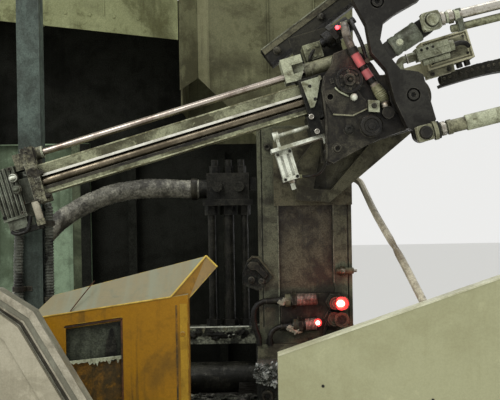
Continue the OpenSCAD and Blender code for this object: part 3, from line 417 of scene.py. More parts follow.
POST_BLUE = Finish("post_blue", "post_blue", tint(82, 94, 86), tint(54, 60, 54), 0.5,
                   cover=0.45, soil=0.8, patch=8, streak=0.6, wear=0.3, worn=tint(116, 126, 118), gloss=0.2)
HOOD_GREEN = Finish("hood_green", "hood_green", tint(138, 142, 102), tint(82, 82, 52), 0.6,
                    cover=0.55, soil=0.9, patch=2.4, streak=0.9, grain=0.12, bump=0.1, crease_dirt_and_shade=0.7,
                    crease_dirt_and_shade_reach=0.1,
                    gloss=0.2)
DUCT_GREEN = Finish("duct_green", "hood_green", tint(112, 112, 82), tint(72, 70, 48), 0.55,
                    cover=0.45, patch=3.2, streak=0.8, grain=0.12, bump=0.1, crease_dirt_and_shade=0.6, crease_dirt_and_shade_reach=0.08,
                    gloss=0.2)
# Painted light: paler green that stands for the lit face of the duct's bend
PAINTED_BEND_LIGHT = Finish("fold_green", "hood_green", tint(134, 133, 100), tint(88, 86, 60), 0.55,
                    cover=0.35, soil=0.6, patch=3.2, streak=0.7, grain=0.1, gloss=0.2)
PANEL_GREEN = Finish("panel_green", "hood_green", tint(146, 168, 138), tint(76, 88, 66), 0.6,
                     cover=0.42, soil=0.85, patch=3, streak=0.8, grain=0.1, gloss=0.2)
EDGE_GREEN = Finish("edge_green", "hood_green", tint(92, 100, 76), tint(54, 60, 42), 0.6,
                    cover=0.42, patch=6, streak=0.8, grain=0.12, gloss=0.2)
WALL_DARK = Finish("wall_dark", "wall_dark", tint(33, 34, 29), tint(17, 18, 14), 0.8,
                   cover=0.45, soil=0.7, patch=5, streak=0.5, grain=0.4, crease_dirt_and_shade=0.5, gloss=0.08)
PIPE_DARK = Finish("pipe_dark", "dark_steel", tint(46, 45, 38), tint(20, 20, 16), 0.45, 0.1,
                   cover=0.55, patch=18, bump=0.8, grain=0.4, wear=0.5, worn=tint(84, 82, 72), gloss=0.2)
HOSE_RUBBER = Finish("hose_rubber", "hose_rubber", tint(140, 138, 124), tint(52, 50, 44), 0.3, 0.1,
                     cover=0.5, soil=0.9, patch=9, grain=0.34, grain_scale=240, bump=0.6, relief=0.003,
                     crease_dirt_and_shade=0.4)
CHAIN_BLACK = Finish("chain_black", "chain_black", tint(48, 47, 38), tint(26, 25, 19), 0.5,
                     cover=0.45, patch=22, wear=0.5, worn=tint(92, 90, 78), gloss=0.25)
TUBE_PLASTIC = Finish("tube_plastic", "tube_plastic", tint(132, 122, 108), tint(64, 56, 46), 0.35,
                      cover=0.45, patch=26, grain=0.1, bump=0.1, crease_dirt_and_shade=0.5)
BOOT_OLIVE = Finish("boot_olive", "tube_plastic", tint(132, 132, 100), tint(78, 76, 52), 0.45,
                    cover=0.45, patch=26, grain=0.1, bump=0.2, crease_dirt_and_shade=0.5)
BLOCK_CREAM = Finish("block_cream", "block_cream", tint(174, 178, 150), tint(96, 94, 70), 0.42,
                     cover=0.3, patch=22, wear=0.6, worn=tint(208, 212, 192), crease_dirt_and_shade=0.75, bump=0.3)
BOX_CREAM = Finish("box_cream", "block_cream", tint(196, 192, 158), tint(120, 114, 88), 0.42,
                   cover=0.2, patch=18, wear=0.6, worn=tint(200, 200, 174), crease_dirt_and_shade=0.35, crease_dirt_and_shade_reach=0.01,
                   bump=0.15, grain=0.08)
PLATE_CREAM = Finish("plate_cream", "block_cream", tint(136, 135, 108), tint(66, 62, 44), 0.42,
                     cover=0.42, patch=20, wear=0.6, worn=tint(192, 192, 166), crease_dirt_and_shade=0.75, bump=0.3)
CRUST_CREAM = Finish("crust_cream", "block_cream", tint(130, 128, 104), tint(42, 38, 27), 0.5,
                     cover=0.62, patch=26, wear=0.7, worn=tint(180, 180, 158), crease_dirt_and_shade=0.85, bump=0.8,
                     grain=0.4, grain_scale=220)
CYLINDER_ALU = Finish("cylinder_alu", "cylinder_alu", tint(238, 242, 224), tint(152, 152, 130), 0.34, 0.2,
                      cover=0.3, patch=24, grain=0.08, wear=0.6, worn=tint(228, 230, 216), crease_dirt_and_shade=0.8)
GRIPPER_ALU = Finish("gripper_alu", "cylinder_alu", tint(112, 117, 101), tint(62, 63, 50), 0.42, 0.2,
                     cover=0.45, patch=20, wear=0.6, worn=tint(160, 162, 144), crease_dirt_and_shade=0.8, bump=0.3)
SHOT_BLUE = Finish("shot_blue", "shot_blue", tint(92, 108, 118), tint(44, 44, 38), 0.4,
                   cover=0.45, patch=8, streak=0.4, wear=0.4)
FLANGE_LIP = Finish("flange_lip", "mast_grey", tint(132, 134, 112), tint(72, 70, 56), 0.35,
                    cover=0.55, patch=30, wear=0.6, worn=tint(168, 170, 150), bump=0.4, crease_dirt_and_shade=0.2)
FLASH_BRIGHT = Finish("flash_bright", "cylinder_alu", tint(206, 210, 204), tint(58, 60, 52), 0.25, 0.4,
                      cover=0.62, patch=60, bump=0.8, grain=0.3, crease_dirt_and_shade=0.8, crease_dirt_and_shade_reach=0.012)
SENSOR_NICKEL = Finish("sensor_nickel", "dark_steel", tint(180, 154, 140), tint(92, 68, 58), 0.3, 0.3,
                       cover=0.36, patch=16, bump=0.3, grain=0.2, crease_dirt_and_shade=0.6, crease_dirt_and_shade_reach=0.01)
LEDGE_CRUST = Finish("ledge_crust", "cast_dark", tint(134, 137, 118), tint(42, 43, 35), 0.45, 0.1,
                     cover=0.55, patch=26, bump=1.0, relief=0.004, grain=0.5, grain_scale=200)
BRACE_DARK = Finish("brace_dark", "mast_grey", tint(48, 46, 36), tint(22, 21, 16), 0.45,
                    cover=0.5, patch=14, wear=0.5, worn=tint(110, 106, 86), bump=0.4, gloss=0.25)
GUARD_LIGHT = Finish("guard_light", "guard_yellow", tint(162, 126, 34), tint(122, 92, 26), 0.5,
                     cover=0.4, patch=6, streak=0.9, grain=0.06, gloss=0.2)
# Painted highlight: pale cream for the lit top edge of the cream panel
PANEL_RIM_HIGHLIGHT = Finish("rim_cream", "panel_cream", tint(214, 214, 184), tint(176, 174, 142), 0.4,
                   cover=0.4, patch=6, grain=0.05, bump=0.05, crease_dirt_and_shade=0.0)
GASKET = Finish("gasket", "console_edge", tint(84, 80, 66), tint(52, 48, 38), 0.6,
                cover=0.4, patch=14, grain=0.15, crease_dirt_and_shade=0.2)
FIN_LIGHT = Finish("fin_light", "cylinder_alu", tint(120, 125, 109), tint(72, 74, 60), 0.42, 0.15,
                   cover=0.5, patch=26, wear=0.6, worn=tint(176, 180, 162), crease_dirt_and_shade=0.4, bump=0.2)
# Painted highlight: near-white strip that stands for the shaft's highlight on the beam
PAINTED_SHAFT_HIGHLIGHT = Finish("rail_bright", "bright_steel", tint(236, 234, 220), tint(150, 146, 128), 0.3, 0.2,
                     cover=0.32, soil=0.8, patch=5, grain=0.05, bump=0.04, crease_dirt_and_shade=0.0)
BEAM_LIGHT = Finish("beam_light", "machine_green", tint(184, 186, 150), tint(96, 92, 64), 0.36,
                    cover=0.55, patch=14, wear=0.6, worn=tint(212, 214, 184), crease_dirt_and_shade=0.3, bump=0.3)
CONDUIT_GREY = Finish("conduit_grey", "chain_black", tint(98, 101, 90), tint(26, 26, 22), 0.45,
                      cover=0.45, patch=16, grain=0.2, crease_dirt_and_shade=0.8, crease_dirt_and_shade_reach=0.006, bump=0.2)
RED_KNOB = Finish("red_knob", "guard_yellow", tint(150, 30, 24), tint(96, 26, 20), 0.35,
                  cover=0.3, patch=14, grain=0.05, bump=0.05)
PANE_GRIME = Finish("pane_grime", "wall_dark", tint(74, 78, 66), tint(40, 43, 34), 0.3,
                    cover=0.6, patch=14, streak=0.9, grain=0.3, bump=0.2)
RED_LAMP = LampOrPaintedGlow("red_lamp", (1.0, 0.05, 0.06), 7.0)
WHITE_RED = LampOrPaintedGlow("white_red", (1.0, 0.55, 0.50), 9.0)
# Painted glow: rings round the sensor lamps that glow though they are no lamps
PAINTED_RED_HALO = LampOrPaintedGlow("red_halo", (0.62, 0.06, 0.06), 0.8)
PAINTED_RED_BLOOM = LampOrPaintedGlow("red_dim", (1.0, 0.10, 0.06), 3.0)
# Painted glow: red sleeves on an air tube that glow though they are no lamp
PAINTED_RED_GLOW = LampOrPaintedGlow("red_glow", tint(158, 96, 96), 0.1)

NODE_FINISH: dict[str, Finish] = {
    "bed": BED_GREEN, "fixed_platen": CRUST_DARK, "moving_platen": CAST_DARK, "tie_bars": GREASED_STEEL,
    "fixed_die": DIE_STEEL, "moving_die": DIE_STEEL, "shot_frame": BED_GREEN, "shot_sleeve": DIE_STEEL,
    "shot_cylinder": SHOT_BLUE, "mast": FLANGE_GREY, "mast_bracket": BRACE_GREY,
    "proximity_sensors": DARK_STEEL, "pipe_rail": LEDGE_CRUST, "manifold": PIPE_DARK,
    "standpipes": PIPE_DARK, "core_hose": HOSE_RUBBER, "hose_foot": BOOT_OLIVE, "splash_guard": GUARD_YELLOW,
    "splash_window": GUARD_STAIN, "right_guard": PANEL_CREAM, "side_cabinet": CONSOLE_EDGE,
    "cabinet_door": CONSOLE_CREAM, "front_left_post": POST_BLUE, "front_right_post": POST_BLUE,
    "rear_posts": POST_BLUE, "roof_frame": POST_BLUE, "hood_skirt": HOOD_GREEN, "hood_duct": DUCT_GREEN,
    "rear_wall": WALL_DARK, "rear_left_panel": PANEL_GREEN, "guard_stay": STAY_RUST,
    "drive_column": MAST_GREY, "gear_motor": CAST_DARK, "cable_chain": CHAIN_BLACK,
    "swing_head": DARK_STEEL, "link_bar": PAINT_BLACK, "upper_brace": BRACE_DARK,
    "rod_block": BLOCK_CREAM, "rod_cylinder": PLATE_CREAM, "slide_block": PIPE_DARK,
    "gusset_plate": BLOCK_CREAM, "lock_cylinder": CYLINDER_ALU, "stroke_sensor": GREASE_BLACK,
    "junction_box": BOX_CREAM, "air_valve": BLOCK_CREAM, "air_tubes": TUBE_PLASTIC,
    "drive_rocker": PAINT_BLACK, "upper_link_rod": BRIGHT_STEEL, "lower_link_rod": PLATE_CREAM,
    "guide_beam": BEAM_GREEN, "beam_shaft": SHAFT_STEEL, "top_rod": ROD_STEEL,
    "end_plate": CRUST_CREAM, "gripper_cylinder": GRIPPER_ALU, "gripper_jaws": CAST_DARK,
}


def dress_nodes() -> None:
    """Gives every CAD node its finish."""
    for name, finish in NODE_FINISH.items():
        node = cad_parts[name]
        node.data.materials.clear()
        node.data.materials.append(finish.material())


# Shapes in millimetres


@dataclass
class Shape:
    """Points and faces in millimetres, before they go into a piece."""

    points: np.ndarray
    faces: list[tuple[int, ...]]

    def moved(self, x: float, y: float, z: float) -> "Shape":
        """Gives the shape shifted by a distance."""
        return Shape(self.points + np.array([x, y, z], float), self.faces)

    def turned(self, matrix: Matrix) -> "Shape":
        """Gives the shape through a matrix; a mirror also turns its faces round."""
        m = np.array(matrix)
        points = self.points @ m[:3, :3].T + m[:3, 3]
        if np.linalg.det(m[:3, :3]) < 0:
            return Shape(points, [face[::-1] for face in self.faces])
        return Shape(points, self.faces)

    def about(self, axis: Axis, degrees: float) -> "Shape":
        """Gives the shape turned about one axis through the origin."""
        return self.turned(Matrix.Rotation(math.radians(degrees), 4, axis.name))

    def along_x(self) -> "Shape":
        """Gives a shape made along Z pointed along X."""
        return self.about(Axis.Y, 90)

    def facing_back(self) -> "Shape":
        """Gives a shape made along Z turned away from the operator."""
        return self.about(Axis.X, -90)

    def facing_front(self) -> "Shape":
        """Gives a shape made along Z turned to face the operator."""
        return self.about(Axis.X, 90)

    def at_front(self, x: float, y: float, z: float) -> "Shape":
        """Gives a shape made along Z turned to face the operator and shifted to its place."""
        return self.facing_front().moved(x, y, z)


def joined(shapes: Iterable[Shape]) -> Shape:
    """Puts several shapes into one.

    Args:
        shapes: The shapes, which may touch or overlap.

    Returns:
        One shape with all their points and faces.
    """
    parts = list(shapes)
    starts = np.cumsum([0] + [len(part.points) for part in parts])
    faces = [tuple(int(i + start) for i in face) for part, start in zip(parts, starts) for face in part.faces]
    return Shape(np.concatenate([part.points for part in parts]), faces)


def grid_faces(rows: int, cols: int, close_rows: bool = False) -> list[tuple[int, ...]]:
    """Gives the quads of a grid whose columns close into rings.

    Args:
        rows: Rings along the shape.
        cols: Points on each ring.
        close_rows: Whether the last ring joins the first.

    Returns:
        One tuple of four indices for each face.
    """
    r = np.arange(rows if close_rows else rows - 1)[:, None]
    c = np.arange(cols)[None, :]
    following, beside = (r + 1) % rows, (c + 1) % cols
    quads = np.stack([r * cols + c, r * cols + beside, following * cols + beside, following * cols + c], -1)
    return [tuple(q) for q in quads.reshape(-1, 4).tolist()]


def capped(points: np.ndarray, rows: int, cols: int) -> Shape:
    """Closes a grid of rings with a flat face at each end."""
    ends = [tuple(range(cols - 1, -1, -1)), tuple(range((rows - 1) * cols, rows * cols))]
    return Shape(points, grid_faces(rows, cols) + ends)


def lathe(profile: Sequence[tuple[float, float]], sides: int = 32) -> Shape:
    """Turns a profile about Z: each point is its radius times the cosine and sine of the angle.

    Args:
        profile: Radius and height of each ring, from the bottom up.
        sides: Points on each ring.

    Returns:
        The turned shape, closed at both ends.
    """
    outline = np.array(profile, float)
    angle = np.linspace(0, 2 * np.pi, sides, endpoint=False)
    x = outline[:, :1] * np.cos(angle)
    y = outline[:, :1] * np.sin(angle)
    z = np.repeat(outline[:, 1:], sides, 1)
    return capped(np.stack([x, y, z], -1).reshape(-1, 3), len(outline), sides)


def rod(radius: float, length: float, sides: int = 32, chamfer: float = 0.0) -> Shape:
    """Gives a round bar along Z from the origin, with chamfered ends."""
    c = chamfer
    profile = [(radius - c, 0), (radius, c), (radius, length - c), (radius - c, length)] if c else \
        [(radius, 0), (radius, length)]
    return lathe(profile, sides)


def ring(outer: float, inner: float, length: float, sides: int = 36) -> Shape:
    """Gives a flat ring along Z from the origin: a rectangle carried round a circle."""
    angle = np.linspace(0, 2 * np.pi, sides, endpoint=False)
    section = np.array([(inner, 0), (outer, 0), (outer, length), (inner, length)])
    x = np.cos(angle)[:, None] * section[:, 0]
    y = np.sin(angle)[:, None] * section[:, 0]
    z = np.repeat(section[None, :, 1], sides, 0)
    return Shape(np.stack([x, y, z], -1).reshape(-1, 3), grid_faces(sides, 4, True))


def block(low: Point, high: Point) -> Shape:
    """Gives a box between two corners."""
    a, b = np.minimum(low, high), np.maximum(low, high)
    pick = np.array([(0, 0, 0), (1, 0, 0), (1, 1, 0), (0, 1, 0), (0, 0, 1), (1, 0, 1), (1, 1, 1), (0, 1, 1)])
    faces = [(0, 3, 2, 1), (4, 5, 6, 7), (0, 1, 5, 4), (1, 2, 6, 5), (2, 3, 7, 6), (3, 0, 4, 7)]
    return Shape(a + pick * (b - a), faces)


def plate(outline: Sequence[tuple[float, float]], y0: float, depth: float) -> Shape:
    """Gives an outline in X and Z its depth along Y, from y0 away from the operator.

    Args:
        outline: Corners, anticlockwise as the operator sees them.
        y0: The front face's place.
        depth: How thick it is.

    Returns:
        The closed plate.
    """
    flat = np.array(outline, float)
    n = len(flat)
    near = np.stack([flat[:, 0], np.full(n, y0), flat[:, 1]], 1)
    far = near + np.array([0, depth, 0])
    sides = [tuple(q) for q in np.stack([np.arange(n), np.arange(n) + n, (np.arange(n) + 1) % n + n,
                                         (np.arange(n) + 1) % n], 1).tolist()]
    return Shape(np.concatenate([near, far]), [tuple(range(n)), tuple(range(2 * n - 1, n - 1, -1)), *sides])


def smooth_path(points: Sequence[Point], each: int = 8) -> np.ndarray:
    """Carries a smooth curve through points: a Catmull-Rom cubic between each pair.

    Args:
        points: The points it passes.
        each: Samples between two points.

    Returns:
        The samples along the curve.
    """
    p = np.array(points, float)
    held = np.concatenate([p[:1], p, p[-1:]])
    t = np.linspace(0, 1, each, endpoint=False)[None, :, None]
    a, b, c, d = (held[k:len(held) - 3 + k][:, None, :] for k in range(4))
    curve = 0.5 * (2 * b + (c - a) * t + (2 * a - 5 * b + 4 * c - d) * t**2 + (3 * b - a - 3 * c + d) * t**3)
    return np.concatenate([curve.reshape(-1, 3), p[-1:]])


def sweep(path: np.ndarray, radius: float | np.ndarray, sides: int = 16,
          aside: Point = (0, 1, 0.02)) -> Shape:
    """Carries a circle along a path.

    Args:
        path: The centres.
        radius: One radius, or one for each centre.
        sides: Points on each ring.
        aside: A direction that the path never runs along.

    Returns:
        A closed tube.
    """
    along = np.gradient(path, axis=0)
    along /= np.linalg.norm(along, axis=1, keepdims=True)
    first = np.cross(along, np.array(aside, float))
    first /= np.linalg.norm(first, axis=1, keepdims=True)
    second = np.cross(along, first)
    angle = np.linspace(0, 2 * np.pi, sides, endpoint=False)
    reach = np.broadcast_to(np.asarray(radius, float), (len(path),))[:, None, None]
    rings = (np.cos(angle)[None, :, None] * first[:, None, :]
             + np.sin(angle)[None, :, None] * second[:, None, :])
    return capped((path[:, None, :] + reach * rings).reshape(-1, 3), len(path), sides)


def corrugated(path: np.ndarray, radius: float, pitch: float, depth: float, sides: int = 16) -> Shape:
    """Carries a ribbed conduit along a path: its radius rises and falls with the sine of the way along."""
    step = np.linalg.norm(np.diff(path, axis=0), axis=1)
    way = np.concatenate([[0], np.cumsum(step)])
    fine = np.arange(0, way[-1], pitch / 6)
    centres = np.stack([np.interp(fine, way, path[:, k]) for k in range(3)], 1)
    swell = radius - depth / 2 + depth / 2 * np.tanh(2.2 * np.sin(2 * np.pi * fine / pitch))
    return sweep(centres, swell, sides)


def regular(radius: float, sides: int, turn: float = 0.0) -> list[tuple[float, float]]:
    """Gives the corners of a regular polygon."""
    angle = np.linspace(0, 2 * np.pi, sides, endpoint=False) + math.radians(turn)
    return [(float(radius * math.cos(a)), float(radius * math.sin(a))) for a in angle]


def hex_nut(across: float, height: float, stud: float = 0.0) -> Shape:
    """Gives a hexagon nut or bolt head along Z with its washer, and a stud end standing out of it.

    Args:
        across: Width across the flats.
        height: Height of the head.
        stud: How far the stud stands out, or 0.

    Returns:
        The fastener, with its seat at the origin.
    """
    corner = across / 2 / math.cos(math.pi / 6)
    head = lathe([(corner, 0.12 * across), (corner, 0.12 * across + height * 0.85),
                  (corner * 0.88, 0.12 * across + height)], 6)
    parts = [rod(corner * 1.15, 0.12 * across, 24, 0.02 * across), head]
    if stud:
        parts.append(rod(across * 0.31, height + 0.12 * across + stud, 20, across * 0.05))
    return joined(parts)


def socket_head(thread: float) -> Shape:
    """Gives a socket head screw's head along Z: a chamfered cylinder with a deep hexagon hollow."""
    r, h = thread * 0.78, thread
    hollow = thread * 0.45
    return lathe([(r, 0), (r, h * 0.9), (r * 0.92, h), (hollow * 1.12, h), (hollow, h * 0.96),
                  (hollow * 0.99, h * 0.35)], 24)


def ball(radius: float, squash: float = 1.0) -> Shape:
    """Gives a ball: a half circle turned about Z, its height times a squash."""
    turn = np.linspace(-np.pi / 2, np.pi / 2, 15)
    profile = np.stack([np.maximum(radius * np.cos(turn), 0.02), radius * squash * np.sin(turn)], 1)
    return lathe([tuple(row) for row in profile.tolist()], 24)


def lump(size: Point, rough: float, seed: int) -> Shape:
    """Gives a crumpled lump.

    Args:
        size: Half its width, depth and height.
        rough: How far its skin departs from an egg's, as a share.
        seed: Start of its random numbers.

    Returns:
        The closed lump about its middle.
    """
    egg = ball(1.0)
    chance = np.random.default_rng(seed)
    ways = chance.normal(size=(14, 3)) * 5
    waves = np.sin(egg.points @ ways.T + chance.uniform(0, 6.3, 14)).sum(axis=1) / 4
    points = egg.points * (1 + rough * waves[:, None]) * np.array(size)
    return Shape(points, egg.faces)


def tube(points: Sequence[Point], radius: float, sides: int = 14, aside: Point = (0, 1, 0.02)) -> Shape:
    """Gives a round tube along a smooth curve through points."""
    return sweep(smooth_path(points), radius, sides, aside)


def straight(first: Point, last: Point, count: int) -> list[Point]:
    """Gives evenly spaced points from one place to another."""
    return [tuple(row) for row in np.linspace(first, last, count).tolist()]


def between(first: Point, last: Point, profile: Sequence[tuple[float, float]], sides: int = 28) -> Shape:
    """Carries a turned shape from one point to another.

    Args:
        first: Where its axis starts.
        last: Where its axis ends.
        profile: Radius and share of the way, from 0 to 1, of each ring.
        sides: Points on each ring.

    Returns:
        The turned shape in its place.
    """
    a, b = np.array(first, float), np.array(last, float)
    way = b - a
    length = float(np.linalg.norm(way))
    turn = Vector((0, 0, 1)).rotation_difference(Vector(way.tolist()))
    made = lathe([(r, share * length) for r, share in profile], sides)
    return made.turned(Matrix.Translation(first) @ turn.to_matrix().to_4x4())


def rounded(width: float, height: float, radius: float, steps: int = 5) -> list[tuple[float, float]]:
    """Gives a rounded rectangle's outline: quarter circles about four corner centres, anticlockwise."""
    turn = np.linspace(0, np.pi / 2, steps + 1)[None, :] + np.arange(4)[:, None] * np.pi / 2
    centre = np.array([(1, 1), (-1, 1), (-1, -1), (1, -1)]) * (width / 2 - radius, height / 2 - radius)
    x = centre[:, :1] + radius * np.cos(turn)
    y = centre[:, 1:] + radius * np.sin(turn)
    return [tuple(row) for row in np.stack([x, y], -1).reshape(-1, 2).tolist()]


def at_points(shape: Shape, places: Iterable[Point]) -> Shape:
    """Puts a copy of a shape at each place."""
    return joined(shape.moved(*place) for place in places)


@dataclass
class Piece:
    """One new object: shapes with their finishes, gathered and then put on a body."""

    name: str
    body: str
    finish: Finish
    bevel: float = 0.6
    place: Matrix | None = None
    shapes: list[tuple[Shape, "Finish | LampOrPaintedGlow"]] = field(default_factory=list)

    def add(self, shape: Shape, finish: "Finish | LampOrPaintedGlow | None" = None) -> None:
        """Adds a shape in millimetres, in the frame that place gives, or else in the machine's."""
        placed = shape if self.place is None else shape.turned(self.place)
        self.shapes.append((placed, finish or self.finish))

    def build(self, *replaced: str, smooth: float = 38.0) -> bpy.types.Object:
        """Makes the object and puts it on its body.

        Args:
            replaced: CAD nodes that this piece stands for.
            smooth: Edges flatter than this, in degrees, are shaded smooth.

        Returns:
            The new object.
        """
        whole = joined(shape for shape, _ in self.shapes)
        finishes = list(dict.fromkeys(finish for _, finish in self.shapes))
        mesh = bpy.data.meshes.new(self.name)
        mesh.from_pydata((whole.points * MM).tolist(), [], whole.faces)
        for finish in finishes:
            mesh.materials.append(finish.material())
        which = np.repeat([finishes.index(finish) for _, finish in self.shapes],
                          [len(shape.faces) for shape, _ in self.shapes])
        mesh.polygons.foreach_set("material_index", which.astype(np.int32))
        mesh.shade_smooth()
        mesh.set_sharp_from_angle(angle=math.radians(smooth))
        mesh.update()
        made = linked(self.name, mesh)
        if self.bevel:
            edge = made.modifiers.new("edge", "BEVEL")
            edge.width = self.bevel * MM
            edge.segments = BEVEL_SEGMENTS
            edge.limit_method = "ANGLE"
            edge.angle_limit = math.radians(BEVEL_ANGLE)
            edge.use_clamp_overlap = True
        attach(made, self.body)
        if replaced:
            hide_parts(*replaced)
        log.info("%s: %d faces on %s", self.name, len(whole.faces), self.body)
        return made


# Swing head and linkage


@dataclass
class SwingHead:
    """Hub, bosses, air tubes with painted red glow and small fittings on the front cheek, in the swing head's
    frame.
    """

    cheek_y: float = -270.0
    hub: tuple[float, float] = (-87.0, 55.0)
    hub_r: float = 22.0
    hub_h: float = 11.0
    drum: tuple[float, float] = (-74.0, -27.0)
    tube_y: float = -277.5
    tube_r: float = 7.0
    thin_r: float = 3.2
    sensor_y: float = -204.3

    def tube_way(self) -> list[Point]:
        """Gives the thick tube's points, from the stroke sensor to its boss."""
        y = self.tube_y
        return [(-61, self.sensor_y, 150), (-61, self.sensor_y - 8, 150), (-61, -220, 150),
                (-63, -240, 146), (-67, -260, 135), (-69, -273, 120), (-67, y, 98), (-60.4, y, 70.6),
                (-53.7, y, 48), (-47, y, 26), (-43.5, y, 14), (-42.3, y, 6), (-42, y, 0), (-42, y, -3.6)]

    def tubes(self) -> None:
        """Makes the two air tubes with their sleeves painted to glow red, ferrules and boot."""
        way = smooth_path(self.tube_way(), 10)
        y = self.tube_y
        piece = Piece("head_air_tubes", HEAD, TUBE_PLASTIC, bevel=0, place=SWING)
        piece.add(sweep(way, self.tube_r, 20))
        thin = [(-50, self.sensor_y, 154), (-50, self.sensor_y - 8, 154), (-50, -220, 154), (-51, -242, 150),
                (-52, -263, 136), (-51, -274, 118), (-50, y, 102), (-50, y, 92), (-50, y, 86), (-50, y, 80.5)]
        piece.add(tube(thin, self.thin_r, 14), GREASE_BLACK)
        # Painted glow: two sleeves on the thick tube glow red though they are no lamp
        for low, high, radius, finish in ((62, 70, 7.4, PAINTED_RED_GLOW), (70, 73, 7.9, GREASE_BLACK),
                                          (73, 80, 7.3, PAINTED_RED_GLOW), (80, 84, 7.9, GREASE_BLACK),
                                          (58, 62, 8.6, PAINT_BLACK)):
            piece.add(sweep(way[low:high + 1], radius, 22), finish)
        boot = way[86:112]
        share = np.linspace(0, 1, len(boot))
        swell = self.tube_r + 0.6 + 2.6 * np.sin(np.pi * share) ** 0.7 + 0.5 * np.sin(share * 60)
        piece.add(sweep(boot, swell, 22), BOOT_OLIVE)
        piece.add(lathe([(9.2, 0), (9.2, 5), (8, 7)], 24).moved(-42, y, -4), BRIGHT_STEEL)
        piece.build("air_tubes", smooth=50)

    def hub_fittings(self) -> None:
        """Makes the hub's ring, its bolts, the drum's steps and the ball bolt."""
        x, z = self.hub
        face = self.cheek_y - self.hub_h
        piece = Piece("head_hub", HEAD, GREASE_BLACK, bevel=0.4, place=SWING)
        piece.add(ring(self.hub_r - 0.6, self.hub_r - 5, 2.6).at_front(x, face, z))
        for px, pz in regular(14.2, 6, 20):
            piece.add(hex_nut(4.6, 2.6).at_front(x + px, face, z + pz), DARK_STEEL)
        piece.add(ring(9.6, 6.2, 1.8).at_front(x, face - 7, z), DARK_STEEL)
        piece.add(ball(3.4).moved(x + 1, face - 8.4, z - 1), DARK_STEEL)
        piece.add(ball(6.2).moved(-88, self.cheek_y - 10.5, 26), CYLINDER_ALU)
        dx, dz = self.drum
        steps = [(18.5, -0.4), (18.5, 1.6), (16.4, 3.4), (12.4, 3.4), (11.4, 1.4), (6.4, 1.4), (6.0, 4.2),
                 (0.4, 4.6)]
        piece.add(lathe(steps, 40).at_front(dx, self.cheek_y - 10, dz))
        piece.add(lathe([(8.2, -0.3), (8.2, 1), (6, 2.4), (3, 2.4), (2.6, 1), (0.3, 1)], 28)
                  .at_front(-110, self.cheek_y - 8, -22), PIPE_DARK)
        piece.add(socket_head(8).at_front(-138, self.cheek_y - 8, -46), DARK_STEEL)
        piece.add(tube([(-112, self.cheek_y - 6, 50), (-108, self.cheek_y - 9, 42),
                        (-101, self.cheek_y - 9, 35),
                        (-95, self.cheek_y - 6, 30)], 1.6, 10), BLOCK_CREAM)
        piece.build()

    def trims(self) -> None:
        """Makes the cream clamp block, a painted highlight along the ledge of the raised plate and the
        cheek's folded edge.
        """
        y = self.cheek_y
        piece = Piece("head_trims", HEAD, BLOCK_CREAM, bevel=0.5, place=SWING)
        piece.add(plate([(-72, -3.6), (-55.6, -9.9), (-50, 8.4), (-67.6, 14.8)], y - 13, 12.6))
        piece.add(hex_nut(7, 4).at_front(-61, y - 13, 3), DARK_STEEL)
        # Painted highlight: a thin cream strip along the ledge of the raised plate
        piece.add(plate([(-128.4, 8.2), (-98, -3), (-71.6, 1), (-72, 3.2), (-98, -0.6), (-127.8, 10.6)],
                        y - 6, 5.8), PLATE_CREAM)
        edge = [(-124.6, 73.4), (-133.6, 54), (-137.6, 30), (-141.6, 8), (-150.6, -26), (-160.4, -57.8),
                (-157, -57.6), (-147.4, -26), (-138.4, 8), (-134.4, 30), (-130.4, 53), (-121.6, 72)]
        piece.add(plate(edge, y - 3.4, 6), DARK_STEEL)
        piece.add(plate([(-111, 66), (-117, 66), (-117, 58), (-111, 58)], y - 6.4, 6), DARK_STEEL)
        for px, pz in ((-158, -8), (-160, 18)):
            piece.add(socket_head(6).at_front(px, y + 30, pz), BRIGHT_STEEL)
        for px, pz in ((-148, 67), (-145.5, 44)):
            piece.add(rod(2.6, 1.4, 20).at_front(px, y + 27, pz), PAINT_BLACK)
        piece.add(plate([(-130, 79), (-126.6, 78), (-126, 72), (-129.4, 71)], y + 18, 8), PLATE_CREAM)
        piece.build()

    def sensor(self) -> None:
        """Makes the stroke sensor's lamp, cap, cable and the mottled bracket beside it."""
        piece = Piece("head_sensor", HEAD, GREASE_BLACK, bevel=0.5, place=SWING)
        piece.add(rod(5.2, 5, 24, 0.8).at_front(-71, -202, 152))
        piece.add(ball(3.6).moved(-71, -207, 152), RED_LAMP)
        piece.add(block((-64, -206, 153), (-52, -200, 159)), BLOCK_CREAM)
        piece.add(tube([(-103, -190, 134), (-112, -191, 131), (-122, -196, 126), (-130, -200, 116),
                        (-131, -196, 108)], 2.6, 12), PAINT_BLACK)
        piece.add(block((-136, -196, 113), (-105, -139.6, 141)), BEAM_GREEN)
        for px, pz in ((-128, 134), (-112, 134), (-120, 119)):
            piece.add(hex_nut(6, 3.4).at_front(px, -196, pz), BEAM_GREEN)
        piece.build()

